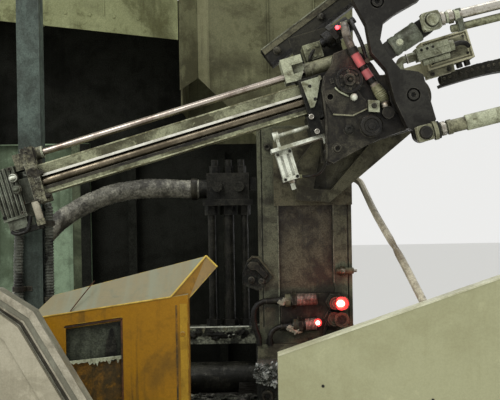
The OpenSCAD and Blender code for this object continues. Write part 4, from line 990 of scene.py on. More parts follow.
    def lock(self) -> None:
        """Makes the lock cylinder's lid, screws, fitting and the thin line that loops to the head."""
        piece = Piece("lock_fittings", HEAD, CYLINDER_ALU, bevel=0.4, place=SWING)
        piece.add(block((-234.6, -222.6, -29), (-206.4, -177.4, -22.2)))
        piece.add(block((-234.6, -222.6, -72.6), (-206.4, -177.4, -66)))
        for px in (-231, -210):
            for pz in (-25.6, -69.4):
                piece.add(socket_head(3.4).at_front(px, -222.6, pz), DARK_STEEL)
        piece.add(hex_nut(9, 5, 3).about(Axis.X, 180).moved(-220.5, -200, -72), BRIGHT_STEEL)
        piece.add(rod(3.4, 7, 16, 0.6).about(Axis.Y, 100).moved(-209, -214, -70), BOOT_OLIVE)
        line = [(-203, -214, -71), (-196, -215, -74), (-184, -220, -76), (-172, -230, -74), (-163, -242, -66),
                (-158, -252, -56), (-155, -256, -46)]
        piece.add(tube(line, 2.1, 10), PAINT_BLACK)
        piece.add(rod(4, 4, 18, 0.6).at_front(-155, -252, -45), PAINT_BLACK)
        piece.add(block((-152, -238, -31), (-147.6, -226, -19)), CYLINDER_ALU)
        piece.build()

    def build(self) -> None:
        """Makes every fitting of the head."""
        self.tubes()
        self.hub_fittings()
        self.trims()
        self.sensor()
        self.lock()


@dataclass
class BoxAndValve:
    """Cover screws, glands, valve details and white elbows on the junction box's side of the head."""

    box_front: float = -184.0
    valve_front: float = -216.0

    def build(self) -> None:
        """Makes the fittings of the box and the valve."""
        piece = Piece("box_fittings", HEAD, PLATE_CREAM, bevel=0.4, place=SWING)
        piece.add(block((68.5, self.box_front - 1.6, 46.5), (134.5, self.box_front, 79.5)))
        for x, z in ((70, 48), (133, 48), (70, 78), (133, 78)):
            piece.add(socket_head(3).at_front(x, self.box_front - 1.2, z), DARK_STEEL)
        for x in (118, 132):
            piece.add(hex_nut(10, 8).about(Axis.X, 180).moved(x, -164, 38), PAINT_BLACK)
        piece.add(block((45, self.valve_front - 1.4, 68.6), (98, self.valve_front, 76.6)), BLOCK_CREAM)
        for x in (52, 62, 72):
            piece.add(rod(2.3, 1.6, 18, 0.3).at_front(x, self.valve_front - 1.4, 72.6), PAINT_BLACK)
        for x in (60, 64, 68, 84, 88):
            piece.add(ring(6.1, 5.4, 1.2, 24).along_x().moved(x, -208, 52.5), BEAM_GREEN)
        piece.add(tube([(28, -201, 67), (19, -201, 67), (13, -203, 63), (11, -206, 54), (11, -207, 46)],
                       6.4, 16), BLOCK_CREAM)
        piece.add(hex_nut(13, 6).along_x().moved(26, -201, 67), BRIGHT_STEEL)
        piece.add(tube([(11, -207, 47), (11, -207, 40), (8, -206, 30), (2, -200, 22), (-4, -190, 18)],
                       4.4, 14), PAINT_BLACK)
        piece.add(tube([(111, -201, 67), (120, -201, 67), (130, -200, 64), (136, -194, 58)],
                       4.2, 14), PAINT_BLACK)
        piece.add(plate([(56, 25), (104.6, 25), (106, 39), (60, 40)], -180, 3), PLATE_CREAM)
        for x in (66, 96):
            piece.add(hex_nut(6, 3).at_front(x, -180, 31), DARK_STEEL)
        piece.build()


@dataclass
class Linkage:
    """Knuckle, pin caps, lock nuts, flanges and the companion tube of the two link rods."""

    rise: float = 13.0
    span: float = 330.0
    upper: tuple[float, float] = (288.03, 1775.25)
    lower: tuple[float, float] = (275.83, 1600.10)
    rod_y: float = -331.0
    eye_front: float = -341.0

    def frame(self, pin: tuple[float, float]) -> Matrix:
        """Gives a rod's own frame: X along the rod from its first pin."""
        turn = Matrix.Rotation(math.radians(-self.rise), 4, "Y")
        return Matrix.Translation((pin[0], 0, pin[1])) @ turn

    def knuckle(self) -> None:
        """Makes the grey barrel that carries the upper pin on the linkage bar."""
        piece = Piece("link_knuckle", HEAD, GRIPPER_ALU, bevel=0.5, place=SWING)
        profile = [(13.5, 0), (16, 0.05), (16, 0.2), (15, 0.24), (15, 0.3), (16.2, 0.33), (16.2, 0.86),
                   (17, 0.89), (17, 0.98), (15.5, 1)]
        start, end = (-11, -301, 81.2), (38, -301, 95.9)
        piece.add(between(start, end, profile, 36))
        piece.add(hex_nut(9, 5).at_front(2, -316.6, 85), BLOCK_CREAM)
        for x, z in ((55, 101), (-5, -64)):
            piece.add(lathe([(9.7, 0), (9.7, 1.4), (8.6, 2.6), (6.6, 2.6), (6.2, 1.8), (0.4, 1.8)], 32)
                      .at_front(x, -349, z), BLOCK_CREAM if z > 0 else PAINT_BLACK)
        piece.build()

    def rod_fittings(self, name: str, body: str, pin: tuple[float, float], eye: float, rod_r: float,
                     finish: Finish) -> Piece:
        """Gathers the fittings at both ends of one rod.

        Args:
            name: The piece's name.
            body: The rod's body.
            pin: Place of its first pin, in X and Z.
            eye: Side of the square rod end.
            rod_r: The rod's radius.
            finish: Finish of the rod ends.

        Returns:
            The piece, not built yet.
        """
        piece = Piece(name, body, finish, bevel=0.5, place=self.frame(pin))
        outline = rounded(eye + 1.6, eye + 1.6, 5)
        hole = ring(eye / 2 - 0.4, 10.6, 2.6, 40)
        for x in (0.0, self.span):
            rim = plate(outline, self.eye_front - 0.4, 17).moved(x, 0, 0)
            piece.add(rim)
            piece.add(hole.at_front(x, self.eye_front - 0.4, 0))
        for x, way in ((eye / 2 + 1, 1), (self.span - eye / 2 - 1, -1)):
            for gap, radius, length in ((0, 9, 3), (9, 9.4, 5), (23, rod_r + 1.4, 8)):
                collar = rod(radius, length, 30, 0.8).along_x()
                start = x + gap if way > 0 else x - gap - length
                piece.add(collar.moved(start, self.rod_y, 0), finish)
            nut = rod(11.4, 7, 6).along_x()
            piece.add(nut.moved(x + 13.5 if way > 0 else x - 20.5, self.rod_y, 0), BRIGHT_STEEL)
        return piece

    def build(self) -> None:
        """Makes the fittings of both rods."""
        self.knuckle()
        upper = self.rod_fittings("upper_link_fittings", UPPER_LINK, self.upper, 27, 8, BLOCK_CREAM)
        upper.add(rod(6.2, 272, 24, 1).along_x().moved(29, self.rod_y + 4, -19), BEAM_GREEN)
        for x in (40, 150, 262):
            upper.add(block((x, self.rod_y - 7, -26), (x + 9, self.rod_y + 10, 9)), GRIPPER_ALU)
        upper.build()
        lower = self.rod_fittings("lower_link_fittings", LOWER_LINK, self.lower, 24, 10.5, PLATE_CREAM)
        sleeve = lathe([(11, 0), (12.4, 1.2), (12.4, 60), (11, 61.4)], 32).along_x()
        lower.add(sleeve.moved(66, self.rod_y, 0), BLOCK_CREAM)
        lower.add(ring(14, 10.7, 4, 36).along_x().moved(20, self.rod_y, 0), PIPE_DARK)
        lower.build()


# Mast, pipes and hose


@dataclass
class MastFittings:
    """Sensor threads, lit lamps with painted red glow rings, cables, the bent lug and the edges of the mast.
    """

    front: float = 0.0
    foot_z: float = 1228.0
    upper: tuple[float, float] = (61.0, 1310.0)
    lower: tuple[float, float] = (77.0, 1262.0)
    sensor_y: float = -18.0
    face_y: float = -52.0

    def axis(self, start: tuple[float, float], tip: float, low: float, high: float) -> np.ndarray:
        """Gives points along a sensor's axis, which rises by a small tip in degrees."""
        way = np.linspace(low, high, 60)
        lift = math.radians(tip)
        x = start[0] + way * math.cos(lift)
        return np.stack([x, np.full_like(x, self.sensor_y), start[1] + way * math.sin(lift)], 1)

    def sensors(self) -> None:
        """Makes the threads, collars, lamps and leads of the proximity sensors, and the painted red glow
        rings round the lamps.
        """
        piece = Piece("sensor_fittings", MACHINE, DARK_STEEL, bevel=0.3)
        for start, tip, high in ((self.upper, 2, 61), (self.lower, 4, 45)):
            piece.add(corrugated(self.axis(start, tip, 24, high), 11.4, 2.6, 0.7, 24), SENSOR_NICKEL)
            piece.add(sweep(self.axis(start, tip, 2, 12), 12.2, 24), BRACE_GREY)
            piece.add(sweep(self.axis(start, tip, -16, -4), 7.6, 20), GREASE_BLACK)
        for x, z, r in ((168, 1306, 12), (166, 1276, 13)):
            piece.add(ring(r + 0.6, r - 3.4, 2.4).at_front(x, self.face_y, z), DARK_STEEL)
            piece.add(lathe([(r - 4.4, 0), (r - 4.4, 1.2), (3, 1.4), (0.3, 0.8)], 30)
                      .at_front(x, self.face_y, z), GREASE_BLACK)
        for k, (x, z) in enumerate(((64, 1311), (56, 1306), (84, 1253), (72, 1258))):
            piece.add(lump((7, 4, 4.5), 0.4, 70 + k).moved(x, self.sensor_y - 8, z), EDGE_CREAM)
        piece.add(ball(7.2, 0.8).moved(164, self.face_y - 3, 1306), WHITE_RED)
        # Painted glow: red rings round the lit lamp glow though they are no lamps
        piece.add(ring(8.8, 6.6, 3, 30).at_front(164, self.face_y - 1, 1306), PAINTED_RED_BLOOM)
        piece.add(ring(12.4, 8.6, 1.4, 36).at_front(165.5, self.face_y - 1.6, 1306), PAINTED_RED_HALO)
        # Painted glow rings round the small lamp too
        piece.add(ring(7.6, 5, 1, 30).at_front(123, self.sensor_y - 8.6, 1268), PAINTED_RED_HALO)
        piece.add(ball(3.8).moved(123, self.sensor_y - 10, 1268), WHITE_RED)
        piece.add(ring(5.2, 3.4, 2, 24).at_front(123, self.sensor_y - 9, 1268), PAINTED_RED_BLOOM)
        leads = (([(28, -18, 1309), (20, -18, 1308), (9, -20, 1301), (3, -21, 1286), (5, -20, 1262),
                   (12, -20, 1240), (13, -20, 1226)], 5.4),
                 ([(56, -18, 1260.5), (48, -18, 1259), (38, -20, 1253), (33, -21, 1242), (33, -20, 1226)],
                  5.0),
                 ([(150, -30, 1290), (146, -26, 1282), (142, -20, 1270), (136, -17, 1252), (134, -12, 1228)],
                  4.0))
        for way, radius in leads:
            piece.add(tube(way, radius, 14), GREASE_BLACK)
        piece.build()

    def lug(self) -> None:
        """Makes the bent lug on the left flange and the stub with its nut on the right one."""
        piece = Piece("mast_lug", MACHINE, CRUST_DARK, bevel=1.0)
        outline = [(-17, 1342), (-8, 1336), (12, 1328), (33, 1345), (41, 1356), (14, 1391), (2, 1393),
                   (-7.7, 1383), (-17, 1362)]
        piece.add(plate(outline, self.front - 13, 12.9))
        rib = [(-8, 1376), (-2, 1384), (12, 1383), (31, 1358), (25, 1351), (8, 1368), (-2, 1368)]
        piece.add(plate(rib, self.front - 18, 5.2), DARK_STEEL)
        edge = [(-8.5, 1384), (2, 1394.6), (14.6, 1392.6), (42.4, 1356.4), (40, 1354.4), (13, 1389),
                (3, 1390.6),
                (-5.6, 1382)]
        piece.add(plate(edge, self.front - 14.5, 14.4), BRACE_GREY)
        for x, z in ((0, 1349), (20, 1347)):
            piece.add(hex_nut(10, 5, 2).at_front(x, self.front - 13, z), DARK_STEEL)
        piece.add(rod(6, 34, 24, 1).along_x().moved(160, -7, 1363), BRACE_GREY)
        piece.add(hex_nut(15, 7).along_x().moved(168, -7, 1363), BRIGHT_STEEL)
        piece.add(rod(3, 10, 18, 0.6).along_x().moved(190, -7, 1363), BRIGHT_STEEL)
        piece.build()

    def edges(self) -> None:
        """Makes the worn bright lips of the flanges, the sunk web's skin and the foot's bolts."""
        piece = Piece("mast_trims", MACHINE, MAST_GREY, bevel=0.4)
        for x, low in ((51.4, 1252), (156.2, 1340)):
            piece.add(block((x, self.front - 0.9, low), (x + 2.2, self.front + 1.5, 1617)), FLANGE_LIP)
        piece.add(block((53.4, 11.2, 1251), (157.6, 12.4, 1619)), MAST_GREY)
        for x in (32, 112, 182):
            piece.add(hex_nut(12, 7).moved(x, -9.5, self.foot_z), DARK_STEEL)
        for x, z in ((34, 1600), (176, 1600)):
            piece.add(socket_head(8).at_front(x, self.front, z), DARK_STEEL)
        piece.build()

    def build(self) -> None:
        """Makes every fitting of the mast."""
        self.sensors()
        self.lug()
        self.edges()


@dataclass
class PlatenTop:
    """A painted highlight along the rail's top edge, drips of dried spray and shiny flash beside the mast's
    foot.
    """

    rail_y: float = 152.0
    rail_z: float = 1241.0
    platen_y: float = -60.0

    def bar_crust(self) -> None:
        """Makes the dried spray that lies on the tie bar beside the platen."""
        chance = np.random.default_rng(7)
        piece = Piece("bar_crust", MACHINE, CRUST_DARK, bevel=0)
        for k, x in enumerate(np.linspace(-112, -2, 22).tolist()):
            wide, high = chance.uniform(7, 15), chance.uniform(3, 7)
            lean = chance.uniform(-1.1, 0.5)
            y, z = 25 + 40 * math.sin(lean), 1080 + 40 * math.cos(lean)
            grit = lump((wide, wide * 0.8, high), 0.4, 60 + k).about(Axis.X, -math.degrees(lean))
            piece.add(grit.moved(x, y, z), (CRUST_DARK, LEDGE_CRUST)[k % 3 == 0])
        piece.build(smooth=30)

    def build(self) -> None:
        """Makes the painted highlight on the rail's edge, the drips, the flash and the dried spray."""
        piece = Piece("rail_edge", MACHINE, CYLINDER_ALU, bevel=0.5)
        # Painted highlight: a near-white strip along the rail's top edge
        piece.add(block((-178, self.rail_y - 1.4, self.rail_z - 1.6),
                        (-6, self.rail_y + 6, self.rail_z + 0.6)))
        for x, wide, deep in ((-104, 8, 13), (-61, 12, 9), (-30, 6, 7), (-128, 5, 8)):
            drip = [(x, self.rail_z), (x + wide, self.rail_z), (x + wide * 0.8, self.rail_z - deep * 0.6),
                    (x + wide * 0.5, self.rail_z - deep), (x + wide * 0.2, self.rail_z - deep * 0.7)]
            piece.add(plate(drip, self.rail_y - 1.2, 1.3), PLATE_CREAM)
        flake = plate([(-54, 1222), (-38, 1228), (-36, 1225), (-52, 1219)], self.rail_y - 2, 2)
        piece.add(flake, CYLINDER_ALU)
        piece.build(smooth=25)
        crust = Piece("rail_crust", MACHINE, CRUST_DARK, bevel=0)
        spots = ((-150, 9, 5), (-118, 14, 7), (-84, 10, 6), (-70, 16, 8), (-44, 9, 7), (-20, 12, 8))
        for k, (x, wide, high) in enumerate(spots):
            grit = lump((wide, 4, high), 0.35, k).moved(x, self.rail_y + 0.5, 1222 + 3 * (k % 3))
            crust.add(grit, PIPE_DARK)
        crust.build(smooth=60)
        self.bar_crust()
        flash = Piece("metal_flash", MACHINE, CYLINDER_ALU, bevel=0)
        for k, (x, z, w, h) in enumerate(((16, 1176, 13, 9), (34, 1186, 13, 13), (27, 1168, 16, 8),
                                          (12, 1190, 8, 9), (40, 1170, 9, 9))):
            flash.add(lump((w, 6, h), 0.5, 20 + k).moved(x, self.platen_y - 2, z), FLASH_BRIGHT)
        flash.build(smooth=20)


@dataclass
class CoreHose:
    """The scaly hose from the manifold to the moving platen, with its collars and end nuts."""

    radius: float = 20.0
    y: float = 161.0
    foot: Point = (-471.0, 121.0, 1180.0)

    def route(self) -> list[Point]:
        """Gives the points that its middle follows."""
        y = self.y
        x, foot_y, _ = self.foot
        return [(-104.3, y, 1524), (-114, y, 1524), (-126, y, 1524), (-174, y - 1, 1527), (-225, y - 5, 1526),
                (-286, y - 12, 1516), (-345, y - 24, 1491), (-394, y - 33, 1457), (-434, y - 38, 1406),
                (-460, foot_y, 1340), (-470, foot_y, 1270), (x, foot_y, 1240), (x, foot_y, 1226),
                (x, foot_y, 1214.3)]

    def build(self) -> None:
        """Makes the hose and its fittings."""
        way = smooth_path(self.route(), 20)
        step = np.linalg.norm(np.diff(way, axis=0), axis=1)
        run = np.concatenate([[0], np.cumsum(step)])
        fine = np.arange(0, run[-1], 2.2)
        path = np.stack([np.interp(fine, run, way[:, k]) for k in range(3)], 1)
        path = np.vstack([path, way[-1:]])
        chance = np.random.default_rng(7)
        rough = np.convolve(chance.normal(size=len(path) + 8), np.ones(9) / 3, "valid")[:len(path)]
        fade = np.clip(np.minimum(np.arange(len(path)), np.arange(len(path))[::-1]) / 20, 0, 1)
        radius = self.radius - 0.5 + 0.35 * np.sin(np.arange(len(path)) * 1.9) + 0.5 * rough * fade
        piece = Piece("core_hose_dressed", MACHINE, HOSE_RUBBER, bevel=0)
        piece.add(sweep(path, np.clip(radius, 18.4, 20.6), 24))
        made = piece.build("core_hose", smooth=50)
        ends = Piece("hose_fittings", MACHINE, BOOT_OLIVE, bevel=0.5)
        collar = lathe([(20.6, 0), (22.4, 1.4), (22.4, 12), (21.4, 13.4)], 40).along_x()
        ends.add(collar.moved(-121, self.y, 1524.2), DARK_STEEL)
        ends.add(ring(23.6, 20.4, 6, 40).moved(self.foot[0], self.foot[1], 1214), DARK_STEEL)
        ends.build()


# Arm, guards, console and posts


@dataclass
class ArmEnd:
    """Bolts, fins, crust and strips of the beam, its end and the gripper, in the swing head's frame."""

    reach: float = 622.0
    plate_t: float = 20.0
    y: float = -200.0
    strip_x: tuple[float, float] = (-620.0, -124.0)
    strip_y: tuple[float, float] = (-220.8, -219.0)

    def build(self) -> None:
        """Makes the fittings of the arm's end and along the beam."""
        x = -self.reach - self.plate_t - 0.3
        front = self.y - 32
        piece = Piece("gripper_fittings", ARM, GRIPPER_ALU, bevel=0.4, place=SWING)
        for z, finish in ((66, CYLINDER_ALU), (46, GRIPPER_ALU)):
            piece.add(ring(8.2, 5.6, 3, 28).at_front(x - 22, front, z), DARK_STEEL)
            piece.add(ball(6.2, 0.6).moved(x - 22, front - 8, z), finish)
            piece.add(rod(6.8, 5, 24, 1).at_front(x - 22, front - 2.5, z), finish)
        for k in range(5):
            low = x - 51.6 + k * 7.4
            piece.add(block((low, front - 1.2, 3), (low + 1.6, front + 1, 85)), FIN_LIGHT)
        for px, pz in ((x - 55, 6), (x - 24, 6), (x - 55, 82), (x - 24, 82)):
            piece.add(socket_head(4).at_front(px, front, pz), DARK_STEEL)
        piece.add(block((x - 58.6, front - 0.8, -1), (x - 17.6, self.y + 32.6, 3.4)), FIN_LIGHT)
        piece.add(tube([(x - 52, front + 3, -19), (x - 44, front + 1, -25), (x - 28, front + 1, -25),
                        (x - 20, front + 3, -15), (x - 14, front + 4, -2)], 3.2, 14), GREASE_BLACK)
        piece.add(block((x - 40, front + 4, -27), (x - 6, self.y + 10, -18)), PIPE_DARK)
        piece.build()
        end = Piece("end_plate_fittings", ARM, CRUST_CREAM, bevel=0, place=SWING)
        chance = np.random.default_rng(5)
        for k, z in enumerate(np.linspace(18, 106, 9).tolist()):
            wide = 3.5 + 2.5 * float(chance.random())
            place = -self.reach - 4 - 12 * float(chance.random())
            end.add(lump((wide, 1.8, 4.5), 0.35, 40 + k).moved(place, self.y - 30, z), CRUST_CREAM)
        end.add(lump((3, 8, 12), 0.3, 60).moved(-self.reach - 1, self.y - 20, 98), DARK_STEEL)
        end.add(ring(10.5, 8.2, 3, 32).along_x().moved(9.4 - self.reach, self.y, 97), BLOCK_CREAM)
        end.add(rod(6.4, 34, 28, 1.2).moved(-self.reach - 20, self.y - 30, -14), EDGE_CREAM)
        end.add(rod(6.9, 3, 28, 0.6).moved(-self.reach - 20, self.y - 30, 18), DARK_STEEL)
        for z in (22, 62):
            end.add(hex_nut(9, 5, 2).along_x().moved(-self.reach, self.y - 26, z), DARK_STEEL)
        end.build(smooth=45)
        self.beam()

    def beam(self) -> None:
        """Makes the strips on the beam's face: lighter strips along its top and bottom edges, a painted
        highlight line where the shaft's top catches the light, and a painted shadow band under the shaft.
        """
        piece = Piece("beam_trims", ARM, BEAM_LIGHT, bevel=0.3, place=SWING)
        (start, end), (front, back) = self.strip_x, self.strip_y
        # Painted light: a bright strip for the shaft's highlight and a dark strip for the shadow under the
        # shaft; two lighter strips brighten the top and bottom edges
        for z, high, finish in ((74.2, 2.4, BEAM_LIGHT), (55.6, 4.2, PAINTED_SHAFT_HIGHLIGHT), (33.6, 5.4, DARK_STEEL),
                                (26.2, 2.2, BEAM_LIGHT)):
            piece.add(block((start, front, z), (end, back, z + high)), finish)
        piece.build()


@dataclass
class SplashGuardTrims:
    """Folded lips, pane, rivets and torn seal of the yellow splash guard."""

    y: float = -320.0
    x0: float = -352.0
    x1: float = -101.0
    z0: float = 1319.0
    back: float = 66.0

    def build(self) -> None:
        """Makes the trims of the guard."""
        y = self.y
        piece = Piece("splash_guard_trims", MACHINE, LIP_YELLOW, bevel=0.3)
        front_left, front_right = (self.x0 + 4, y - 0.2, self.z0 - 0.4), (self.x1 - 27, y - 0.4, self.z0 + 30)
        back_right = (self.x1 + 27, y + self.back, self.z0 + 90.4)
        piece.add(tube(straight(front_left, front_right, 6), 1.3, 10, (0, 0, 1)))
        piece.add(tube(straight(front_right, back_right, 6), 1.5, 10))
        tip = (self.x1 + 45, y + self.back, self.z0 + 72)
        piece.add(tube(straight(back_right, tip, 4), 1.6, 10))
        lean = [(-287, y - 0.5, 1329.2), (-279, y + 14, 1340.8), (-268, y + 32, 1356), (-256, y + 52, 1372.4)]
        piece.add(tube(lean, 0.9, 8, (0, 0, 1)), RIM_BROWN)
        for x in (self.x0 + 12, self.x1 - 9):
            for z in (560, 760, 960, 1160, 1290):
                piece.add(rod(4.2, 1.8, 20, 0.7).at_front(x, y, z), GUARD_YELLOW)
        for z in (430, 450):
            piece.add(block((self.x0 + 2, y - 1.4, z), (self.x1 - 2, y + 0.5, z + 3)), GUARD_YELLOW)
        piece.add(block((self.x1 - 13, y - 0.8, 426), (self.x1 - 1.5, y + 0.5, 1338)), GUARD_LIGHT)
        piece.add(block((self.x1 - 20, y - 0.3, 426), (self.x1 - 17, y + 0.5, 1336)), GUARD_STAIN)
        piece.build()
        pane = Piece("splash_pane", MACHINE, PANE_GRIME, bevel=0)
        pane.add(plate([(-300, 1243), (-202, 1250), (-202, 1322), (-300, 1311)], y + 12, 2.6))
        arch = [(-235, 1252), (-232, 1279), (-226, 1298), (-223, 1300), (-220, 1296), (-217, 1276),
                (-216, 1252)]
        pane.add(plate(arch, y + 10.6, 1.6), PIPE_DARK)
        chance = np.random.default_rng(11)
        xs = np.linspace(-296, -206, 37)
        lows = 1246.5 + (xs + 296) * 0.09 - 1.2 - np.where(xs > -262, 9, 2.4) * chance.random(37) ** 2
        tear = [(float(a), 1249.6 + (float(a) + 296) * 0.09) for a in xs[::-1]]
        tear += [(float(a), float(b)) for a, b in zip(xs, lows)]
        pane.add(plate(tear, y + 2.4, 1.2), BLOCK_CREAM)
        pane.build(smooth=20)
        rim = Piece("window_rim", MACHINE, RIM_BROWN, bevel=0.3)
        rim.add(plate([(-297.4, 1305), (-204.6, 1317.2), (-204.6, 1314.4), (-297.4, 1302.2)], y - 0.6, 3.4))
        rim.add(block((-207.6, y - 0.6, 1098), (-204.8, y + 2.8, 1316)))
        rim.add(block((-297.2, y - 0.6, 1098), (-294.8, y + 2.8, 1304)), GUARD_YELLOW)
        rim.build()


@dataclass
class PanelAndConsole:
    """Hems, screws, hinges and handles of the cream guard panel and the console."""

    panel_y: float = -430.0
    console_y: float = -592.0
    door_y: float = -600.0

    def panel(self) -> None:
        """Makes the panel's screws, its handle and a painted highlight along its folded top edge."""
        piece = Piece("panel_fittings", MACHINE, PANEL_CREAM, bevel=0.4)
        for x, z in ((102.5, 1224.7), (263.8, 1201.3)):
            piece.add(rod(2.2, 1.4, 20, 0.4).at_front(x, self.panel_y, z), GREASE_BLACK)
        # Painted highlight: a pale strip on the panel's folded top edge
        rim = [(37, 1269), (640, 1467.2), (640, 1470), (37, 1271.8)]
        piece.add(plate(rim, self.panel_y - 0.8, 29), PANEL_RIM_HIGHLIGHT)
        for x in (60, 340, 616):
            for z in (470, 760, 1050):
                piece.add(socket_head(6).at_front(x, self.panel_y, z), DARK_STEEL)
        grip = [(560, self.panel_y + 1, 900), (560, self.panel_y - 30, 906), (560, self.panel_y - 34, 925),
                (560, self.panel_y - 34, 1045), (560, self.panel_y - 30, 1064), (560, self.panel_y + 1, 1070)]
        piece.add(tube(grip, 6, 16, (1, 0, 0)), DARK_STEEL)
        for z in (900, 1070):
            piece.add(rod(12, 3, 28, 1).at_front(560, self.panel_y, z), DARK_STEEL)
        piece.build()

    def console(self) -> None:
        """Makes the light strip along the console's folded edge, its hinges, lock and buttons."""
        piece = Piece("console_fittings", MACHINE, EDGE_CREAM, bevel=0.4)
        outer = [(-696, 1389), (-332, 1389), (-286, 1359), (-150, 1125), (-150, 20)]
        inner = [(-158.5, 20), (-158.5, 1121), (-292, 1350.5), (-334.5, 1379.6), (-696, 1379.6)]
        piece.add(plate(outer + inner, self.console_y - 1.6, 1.8))
        second = [(-696, 1372), (-336.5, 1372), (-298.5, 1346.6), (-165, 1118), (-165, 20), (-167, 20),
                  (-167, 1117), (-300.4, 1344.6), (-337.2, 1370), (-696, 1370)]
        piece.add(plate(second, self.console_y - 1.2, 1.4))
        groove = [(-683, 1372), (-337.1, 1372), (-299.6, 1345.4), (-167, 1116.5), (-167, 20), (-172, 20),
                  (-172, 1114), (-303.6, 1341.4), (-338.6, 1367), (-683, 1367)]
        piece.add(plate(groove, self.console_y + 3, 7.6), GASKET)
        for z in (240, 700, 1000):
            piece.add(rod(8, 60, 28, 1.2).moved(-690, self.console_y - 4, z), DARK_STEEL)
            for end in (14, 46):
                piece.add(socket_head(6).at_front(-674, self.door_y, z + end), DARK_STEEL)
        piece.add(lathe([(15, 0), (15, 3), (13, 5), (6, 5), (5, 3.4), (0.4, 3.4)], 36)
                  .at_front(-214, self.door_y, 760), DARK_STEEL)
        piece.add(block((-217, self.door_y - 12, 744), (-211, self.door_y - 3, 776)), GREASE_BLACK)
        for x, z in ((-676, 60), (-676, 1340), (-360, 1340), (-196, 60), (-196, 1080)):
            piece.add(socket_head(6).at_front(x, self.door_y, z), DARK_STEEL)
        piece.build()
        keys = Piece("console_keys", MACHINE, EDGE_CREAM, bevel=0.6)
        keys.add(plate([(-630, 780), (-410, 780), (-410, 1010), (-630, 1010)], self.door_y - 2, 5))
        screen = plate([(-610, 890), (-430, 890), (-430, 995), (-610, 995)], self.door_y - 3.4, 1.6)
        keys.add(screen, PAINT_BLACK)
        for k in range(5):
            x = -600 + k * 40
            keys.add(ring(13, 9.6, 4, 32).at_front(x, self.door_y - 2, 850), DARK_STEEL)
            keys.add(rod(9.4, 8, 28, 1.6).at_front(x, self.door_y - 2, 850),
                     (BOOT_OLIVE, PAINT_BLACK, BEAM_GREEN, BLOCK_CREAM, DARK_STEEL)[k])
        keys.add(ring(22, 14, 4, 40).at_front(-470, self.door_y - 2, 806), DARK_STEEL)
        keys.add(lathe([(14, 0), (14, 12), (20, 16), (21, 22), (16, 26), (0.4, 27)], 40)
                 .at_front(-470, self.door_y - 2, 806), RED_KNOB)
        keys.build()

    def build(self) -> None:
        """Makes the panel's and the console's fittings."""
        self.panel()
        self.console()


@dataclass
class PostConduits:
    """Two ribbed conduits clipped to the front left post, with their glands."""

    front_y: float = -120.0
    side_x: float = -371.0
    radius: float = 9.0
    foot_z: float = 420.0

    def build(self) -> None:
        """Makes the conduits, clips and glands."""
        y = self.front_y - self.radius - 0.8
        x = self.side_x + self.radius + 0.8
        ways = ([(-397, self.front_y + 1, 1560), (-398, self.front_y - 6, 1557), (-400, y, 1546),
                 (-403, y, 1510),
                 (-408, y, 1462), (-412, y, 1400), (-412, y, 1330), (-408, y, 1250), (-402, y, 1120),
                 (-402, y, 800), (-402, y, self.foot_z + 12)],
                [(self.side_x - 1, -104, 1502), (self.side_x + 5, -107, 1499), (x, -109, 1486),
                 (x, -110, 1440),
                 (x, -110, 1300), (x, -110, 900), (x, -110, self.foot_z + 12)])
        piece = Piece("post_conduits", MACHINE, GREASE_BLACK, bevel=0)
        for way in ways:
            piece.add(corrugated(smooth_path(way, 40), self.radius, 5.2, 1.7, 16), CONDUIT_GREY)
        piece.build(smooth=60)
        clips = Piece("conduit_clips", MACHINE, DARK_STEEL, bevel=0.4)
        clip = ring(self.radius + 2.6, self.radius + 0.4, 9, 28)
        for z, at in ((1480, -406), (1345, -412), (1100, -402), (800, -402), (520, -402)):
            clips.add(clip.moved(at, y, z))
            clips.add(clip.moved(x, -110, z - 20))
            clips.add(block((at + 8, self.front_y - 2, z), (at + 22, self.front_y, z + 9)))
            clips.add(block((self.side_x, -100, z - 20), (self.side_x + 2, -86, z - 11)))
        for place in ((-402, y), (x, -110)):
            clips.add(hex_nut(24, 12).moved(*place, self.foot_z), CYLINDER_ALU)
            clips.add(ring(11.4, 9, 8, 28).moved(*place, self.foot_z + 12), GREASE_BLACK)
        clips.build()


# Fasteners and small parts of the machine


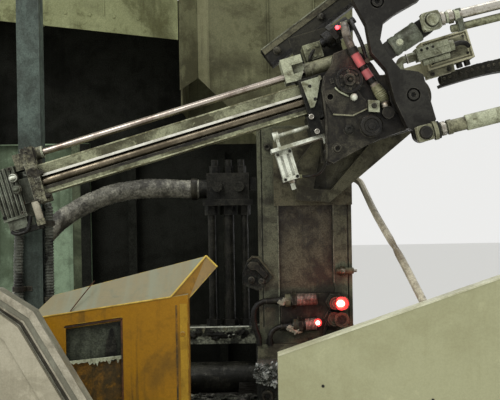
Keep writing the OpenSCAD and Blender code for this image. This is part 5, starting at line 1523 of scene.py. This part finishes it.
@dataclass
class MachineFasteners:
    """Bolts, clamp rings, eye bolts, cylinder rods and ports of the casting machine itself."""

    tie_y: tuple[float, float] = (25.0, 455.0)
    tie_z: tuple[float, float] = (520.0, 1080.0)
    axis_y: float = 240.0
    shot_z: float = 720.0
    platen_x: float = 8.0
    platen_t: float = 200.0

    def tie_nuts(self) -> None:
        """Makes the clamp rings and screws of the tie bars' nuts."""
        piece = Piece("tie_bar_screws", MACHINE, DARK_STEEL, bevel=0.5)
        ends = ((self.platen_x + self.platen_t + 56, 90), (-627, -90))
        for x, turn in ends:
            for y in self.tie_y:
                for z in self.tie_z:
                    piece.add(ring(61, 42, 3.4, 48).about(Axis.Y, turn).moved(x, y, z), CAST_DARK)
                    for a, b in regular(51, 8):
                        side = 3.2 if turn > 0 else -3.2
                        piece.add(socket_head(8).about(Axis.Y, turn).moved(x + side, y + a, z + b))
        piece.build()

    def eye_bolt(self, x: float, y: float, z: float) -> Shape:
        """Gives one lifting eye standing at a place."""
        turn = np.linspace(0, 2 * np.pi, 41)
        hoop = np.stack([22 * np.cos(turn), np.zeros_like(turn), 34 + 22 * np.sin(turn)], 1)
        foot = lathe([(18, 0), (18, 6), (11, 10), (9, 15)], 28)
        return joined([foot, sweep(hoop, 6, 16)]).moved(x, y, z)

    def platens(self) -> None:
        """Makes the platens' eyes, corner screws and the bed's screws."""
        piece = Piece("platen_fasteners", MACHINE, DARK_STEEL, bevel=0.5)
        piece.add(self.eye_bolt(108, 330, 1200))
        piece.add(self.eye_bolt(-430, 300, 1180))
        for x in (self.platen_x + 18, self.platen_x + self.platen_t - 18, -542, -398):
            for z in (460, 700, 1140):
                piece.add(socket_head(14).at_front(x, -60, z))
        for x in np.arange(-620, 640, 124).tolist():
            piece.add(socket_head(12).at_front(x, -400, 410))
            piece.add(socket_head(12).moved(x, -372, 420))
        for x in (-610, 0, 610):
            for y in (-340, 540):
                piece.add(hex_nut(46, 16).moved(x, y, 46))
        piece.build()

    def shot_end(self) -> None:
        """Makes the shot end's nuts, the cylinder's rods, ports and screws."""
        piece = Piece("shot_fasteners", MACHINE, DARK_STEEL, bevel=0.5)
        y, z = self.axis_y, self.shot_z
        for a, b in regular(86, 8, 22.5):
            piece.add(rod(7, 92, 20).along_x().moved(584, y + a, z + b), BRIGHT_STEEL)
            piece.add(hex_nut(20, 12, 6).along_x().moved(584, y + a, z + b))
            piece.add(socket_head(12).along_x().moved(699, y + a, z + b))
        for a, b in regular(57, 6):
            piece.add(socket_head(12).along_x().moved(234, y + a, z + b))
        for a in (-80, 80):
            for b in (-165, 165):
                piece.add(hex_nut(36, 20, 12).along_x().moved(560, y + a, z + b))
        for x in (604, 652):
            piece.add(hex_nut(38, 16).moved(x, y, z + 76), CYLINDER_ALU)
            port = lathe([(14, 0), (14, 18), (12, 20), (12, 26), (0.4, 26)], 30)
            piece.add(port.moved(x, y, z + 90), PIPE_DARK)
        piece.build()

    def hood(self) -> None:
        """Makes the hood's seams, rivets and the roof's corner plates."""
        piece = Piece("hood_fasteners", MACHINE, HOOD_GREEN, bevel=0.4)
        dome = lathe([(4.2, -0.4), (4.2, 0.3), (3, 1.6), (0.3, 2)], 18).facing_front()
        rows = [(x, 330, 1948 - (x + 640) * 0.1) for x in np.arange(-620, -190, 54).tolist()]
        rows += [(x, 370, 2205) for x in np.arange(-90, 230, 52).tolist()]
        rows += [(x, 330, 2205) for x in np.arange(-620, -190, 54).tolist()]
        piece.add(at_points(dome, rows))
        piece.add(block((-321, 328.8, 1916), (-317, 330.5, 2228)), HOOD_GREEN)
        piece.build()
        plates = Piece("roof_plates", MACHINE, POST_BLUE, bevel=0.5)
        for x in (-640, -391, 640):
            plates.add(plate([(x - 34, 2244), (x + 34, 2244), (x + 34, 2274), (x - 34, 2274)], -122.4, 2.6))
            for a in (-24, 24):
                plates.add(hex_nut(13, 6).at_front(x + a, -122.4, 2259), DARK_STEEL)
        plates.build()

    def build(self) -> None:
        """Makes every fastener group."""
        self.tie_nuts()
        self.platens()
        self.shot_end()
        self.hood()


@dataclass
class DriveSide:
    """Cable chain links, gear motor screws and grill, and the brace's folded band."""

    centre: tuple[float, float] = (584.54, 1737.23)
    links: int = 16

    def chain_way(self, share: np.ndarray) -> np.ndarray:
        """Gives points on the chain's middle line, in X and Z, for shares of its length."""
        z = 1712 + 50 * np.sin(np.radians(75 * share)) - 18 * share
        return np.stack([352 + 160 * share, z], -1)

    def chain(self) -> None:
        """Makes the chain's side links, bars and pins."""
        piece = Piece("chain_links", MACHINE, CHAIN_BLACK, bevel=0.3)
        knots = self.chain_way(np.linspace(0, 1, self.links + 1))
        for k in range(self.links):
            a, b = knots[k], knots[k + 1]
            way = b - a
            long = float(np.hypot(*way))
            lean = math.degrees(math.atan2(way[1], way[0]))
            side = 1.2 * (k % 2)
            outline = rounded(long + 7, 17, 6)
            for y in (-105.2 - side, -68.6 + side):
                link = plate(outline, y, 1.8).about(Axis.Y, -lean)
                piece.add(link.moved((a[0] + b[0]) / 2, 0, (a[1] + b[1]) / 2))
            pin = rod(2.6, 1.2, 16, 0.4).at_front(a[0], -105.6 - side, a[1])
            piece.add(pin, DARK_STEEL)
        piece.build()

    def motor(self) -> None:
        """Makes the gear motor's screws, lid and fan grill."""
        x, z = self.centre
        piece = Piece("motor_fittings", MACHINE, DARK_STEEL, bevel=0.5)
        for a, b in ((-46, -48), (46, -48), (-46, 44), (46, 44)):
            piece.add(socket_head(8).at_front(x + a, -272, z + b))
        for radius in (48, 38, 28, 18, 8):
            piece.add(ring(radius, radius - 3.4, 2, 40).facing_back().moved(x, 48, z))
        for turn in (0, 45, 90, 135):
            bar = block((-50, 47, -1.6), (50, 49.4, 1.6)).about(Axis.Y, turn)
            piece.add(bar.moved(x, 0, z))
        piece.add(block((x - 26, -83, z + 69.6), (x + 26, -17, z + 73)), CAST_DARK)
        for a in (-20, 20):
            for y in (-76, -24):
                piece.add(socket_head(4).moved(x + a, y, z + 72.6))
        plug = lathe([(10, 0), (10, 8), (8.4, 10), (6, 16)], 6).about(Axis.Y, -90)
        piece.add(plug.moved(x - 24, -50, z + 58), PAINT_BLACK)
        piece.build()

    def brace(self) -> None:
        """Makes the light band and folded lip of the diagonal brace."""
        along = SWING @ Matrix.Translation((-196, 0, 146)) @ Matrix.Rotation(math.radians(-20.2), 4, "Y")
        piece = Piece("brace_band", HEAD, BRACE_GREY, bevel=0.4, place=along)
        piece.add(block((0.5, -140.4, 6.5), (329, -137.8, 18.4)))
        piece.add(block((0.5, -141.6, 16.4), (329, -137.8, 18.6)), FLANGE_LIP)
        piece.add(block((0.5, -139.6, -18.2), (329, -137.8, -11)), GREASE_BLACK)
        for x in (22, 120, 250):
            piece.add(hex_nut(11, 6, 3).at_front(x, -140, 0), DARK_STEEL)
        piece.build()

    def build(self) -> None:
        """Makes the chain's, motor's and brace's fittings."""
        self.chain()
        self.motor()
        self.brace()


@dataclass
class RearSide:
    """Ribs, screws and a lid on the rear wall, the cover of the rear panel's fold, and a paler strip that
    paints the light on the duct's bend.
    """

    wall_y: float = 594.0
    low: float = 420.0
    high: float = 2000.0
    left: float = -638.0
    right: float = 120.0

    def ribs(self) -> None:
        """Makes the rear wall's hat ribs and its rows of screws."""
        piece = Piece("rear_ribs", MACHINE, WALL_DARK, bevel=0.6)
        screw = rod(4.6, 2.2, 18, 0.7).facing_back()
        for x in (-478, -259, -40):
            hat = [(x - 34, -0.6), (x + 34, -0.6), (x + 34, 0.6), (x + 22, 0.6), (x + 16, 6), (x - 16, 6),
                   (x - 22, 0.6), (x - 34, 0.6)]
            rib = plate(hat, 0, self.high - self.low - 60).facing_back()
            piece.add(rib.moved(0, self.wall_y, self.high - 30))
            for z in np.linspace(self.low + 80, self.high - 80, 9).tolist():
                for a in (-28, 28):
                    piece.add(screw.moved(x + a, self.wall_y, z), DARK_STEEL)
        for z in (self.low + 12, self.high - 12):
            for x in np.linspace(self.left + 40, self.right - 40, 9).tolist():
                piece.add(screw.moved(x, self.wall_y, z), DARK_STEEL)
        piece.build()

    def lid(self) -> None:
        """Makes the inspection lid with its screws, latch and hinges."""
        y = self.wall_y
        piece = Piece("inspection_lid", MACHINE, POST_BLUE, bevel=0.6)
        lid = [(a - 148, b + 1180) for a, b in rounded(150, 320, 16)]
        piece.add(plate(lid, y - 0.5, 3.2))
        for z in (1070, 1290):
            piece.add(rod(3.2, 40, 24, 0.6).moved(-225, y + 2.6, z - 20), DARK_STEEL)
        piece.add(block((-92, y + 2, 1164), (-80, y + 5.8, 1196)), DARK_STEEL)
        for a in (-62, 62):
            for b in (-144, 144):
                piece.add(rod(4, 4.6, 18, 0.7).facing_back().moved(-148 + a, y, 1180 + b), BRIGHT_STEEL)
        piece.build()

    def edge_post(self) -> None:
        """Makes the dark cover strip and its lip along the rear panel's right fold."""
        piece = Piece("panel_edge_post", MACHINE, WALL_DARK, bevel=0.5)
        piece.add(block((-413, 540, 425), (-390.4, 545.9, 1644)))
        piece.add(block((-434, 541.5, 425), (-413.2, 545.9, 1644)), EDGE_GREEN)
        for z in (470, 860, 1250, 1620):
            piece.add(socket_head(8).at_front(-402, 540, z), DARK_STEEL)
        piece.build()

    def duct_fold(self) -> None:
        """Makes a paler strip along the left edge of the duct's front sheet: painted light standing for a
        pressed bend that the flat sheet does not have.
        """
        piece = Piece("duct_fold", MACHINE, PAINTED_BEND_LIGHT, bevel=0.4)
        # Painted light: a paler strip where the sheet would bend
        piece.add(plate([(-112.5, 1778.4), (-87, 1753.2), (-87, 2236), (-112.5, 2236)], 369.3, 1.2))
        piece.build()

    def build(self) -> None:
        """Makes the rear wall's fittings, the cover of the rear panel's fold and the painted light on the
        duct's bend.
        """
        self.ribs()
        self.lid()
        self.edge_post()
        self.duct_fold()


# Light, floor and camera


@dataclass
class Studio:
    """A pale floor and sky, soft lamps and the camera at the photo's place."""

    distance: float = 1.9
    height: float = 1.5
    lens: float = 72.0
    roll: float = math.radians(1.0)
    floor_half: float = 30.0
    pale: Colour = (0.80, 0.80, 0.78)
    sensor_width: float = 36.0
    sky_colour: Colour = (1.0, 1.0, 0.985)
    sky_light: float = 0.8
    sky_seen: float = 0.84
    glow_colour: Colour = (1.0, 0.06, 0.05)
    glow_size: float = 0.006

    def camera(self) -> None:
        """Puts the camera level in front of the mast, with a slight roll."""
        data = bpy.data.cameras.new("photo_camera")
        data.lens = self.lens
        data.sensor_width = self.sensor_width
        data.clip_end = 100.0
        eye = linked("photo_camera", data)
        c, s = math.cos(self.roll), math.sin(self.roll)
        eye.matrix_world = Matrix(((c, s, 0, 0), (0, 0, -1, -self.distance), (-s, c, 0, self.height),
                                   (0, 0, 0, 1)))
        bpy.context.scene.camera = eye

    def floor(self) -> None:
        """Lays the floor at the machine's feet."""
        h = self.floor_half
        mesh = bpy.data.meshes.new("floor")
        mesh.from_pydata([(-h, -h, 0), (h, -h, 0), (h, h, 0), (-h, h, 0)], [], [(0, 1, 2, 3)])
        ground = linked("floor", mesh)
        made = node_material("floor_pale")
        shader = made.node_tree.nodes["Principled BSDF"]
        shader.inputs["Base Color"].default_value = (*self.pale, 1)
        shader.inputs["Roughness"].default_value = 0.9
        mesh.materials.append(made)

    def sky(self) -> None:
        """Lights evenly from a sky that the camera, gloss and glass see as pale."""
        world = bpy.data.worlds.new("studio")
        world.use_nodes = True
        bpy.context.scene.world = world
        nodes, links = world.node_tree.nodes, world.node_tree.links
        path = nodes.new("ShaderNodeLightPath")
        seen = nodes.new("ShaderNodeMath")
        seen.operation = "MAXIMUM"
        links.new(path.outputs["Is Camera Ray"], seen.inputs[0])
        links.new(path.outputs["Is Transmission Ray"], seen.inputs[1])
        strength = nodes.new("ShaderNodeMapRange")
        links.new(seen.outputs[0], strength.inputs["Value"])
        strength.inputs["To Min"].default_value = self.sky_light
        strength.inputs["To Max"].default_value = self.sky_seen
        background = nodes["Background"]
        background.inputs["Color"].default_value = (*self.sky_colour, 1)
        links.new(strength.outputs["Result"], background.inputs["Strength"])

    def lamp(self, name: str, place: Point, aim: Point, size: float, power: float) -> None:
        """Adds a large soft lamp.

        Args:
            name: Its name.
            place: Where it hangs, in metres.
            aim: The point it faces.
            size: Its side, in metres.
            power: Its power, in watts.
        """
        data = bpy.data.lights.new(name, "AREA")
        data.size = size
        data.energy = power
        made = linked(name, data)
        way = Vector(place) - Vector(aim)
        made.matrix_world = Matrix.Translation(place) @ way.to_track_quat("Z", "Y").to_matrix().to_4x4()

    def glow(self, name: str, place: Point, power: float) -> None:
        """Adds the red light that a lit lamp throws on what is round it."""
        data = bpy.data.lights.new(name, "POINT")
        data.energy = power
        data.color = self.glow_colour
        data.shadow_soft_size = self.glow_size
        linked(name, data).location = place

    def build(self) -> None:
        """Makes the whole studio."""
        self.camera()
        self.floor()
        self.sky()
        self.lamp("key_lamp", (-1.6, -2.6, 3.6), (0, 0, 1.4), 1.8, 46)
        self.lamp("top_lamp", (0.6, 0.4, 4.2), (0, 0, 1.2), 2.2, 24)
        self.glow("sensor_glow", (0.166, -0.082, 1.306), 0.12)
        self.glow("small_glow", (0.124, -0.05, 1.268), 0.014)
        self.glow("tube_glow", (0.175, -0.305, 1.72), 0.012)
        bpy.context.scene.view_settings.view_transform = "Standard"


def main() -> None:
    """Builds the studio and dresses the frame."""
    logging.basicConfig(level=logging.INFO, format="%(message)s")
    Studio().build()
    dress_nodes()
    for part in (SwingHead(), BoxAndValve(), Linkage(), MastFittings(), PlatenTop(), CoreHose(),
                 ArmEnd(), SplashGuardTrims(), PanelAndConsole(), PostConduits(),
                 MachineFasteners(), DriveSide(), RearSide()):
        part.build()


if __name__ == "__main__":
    main()
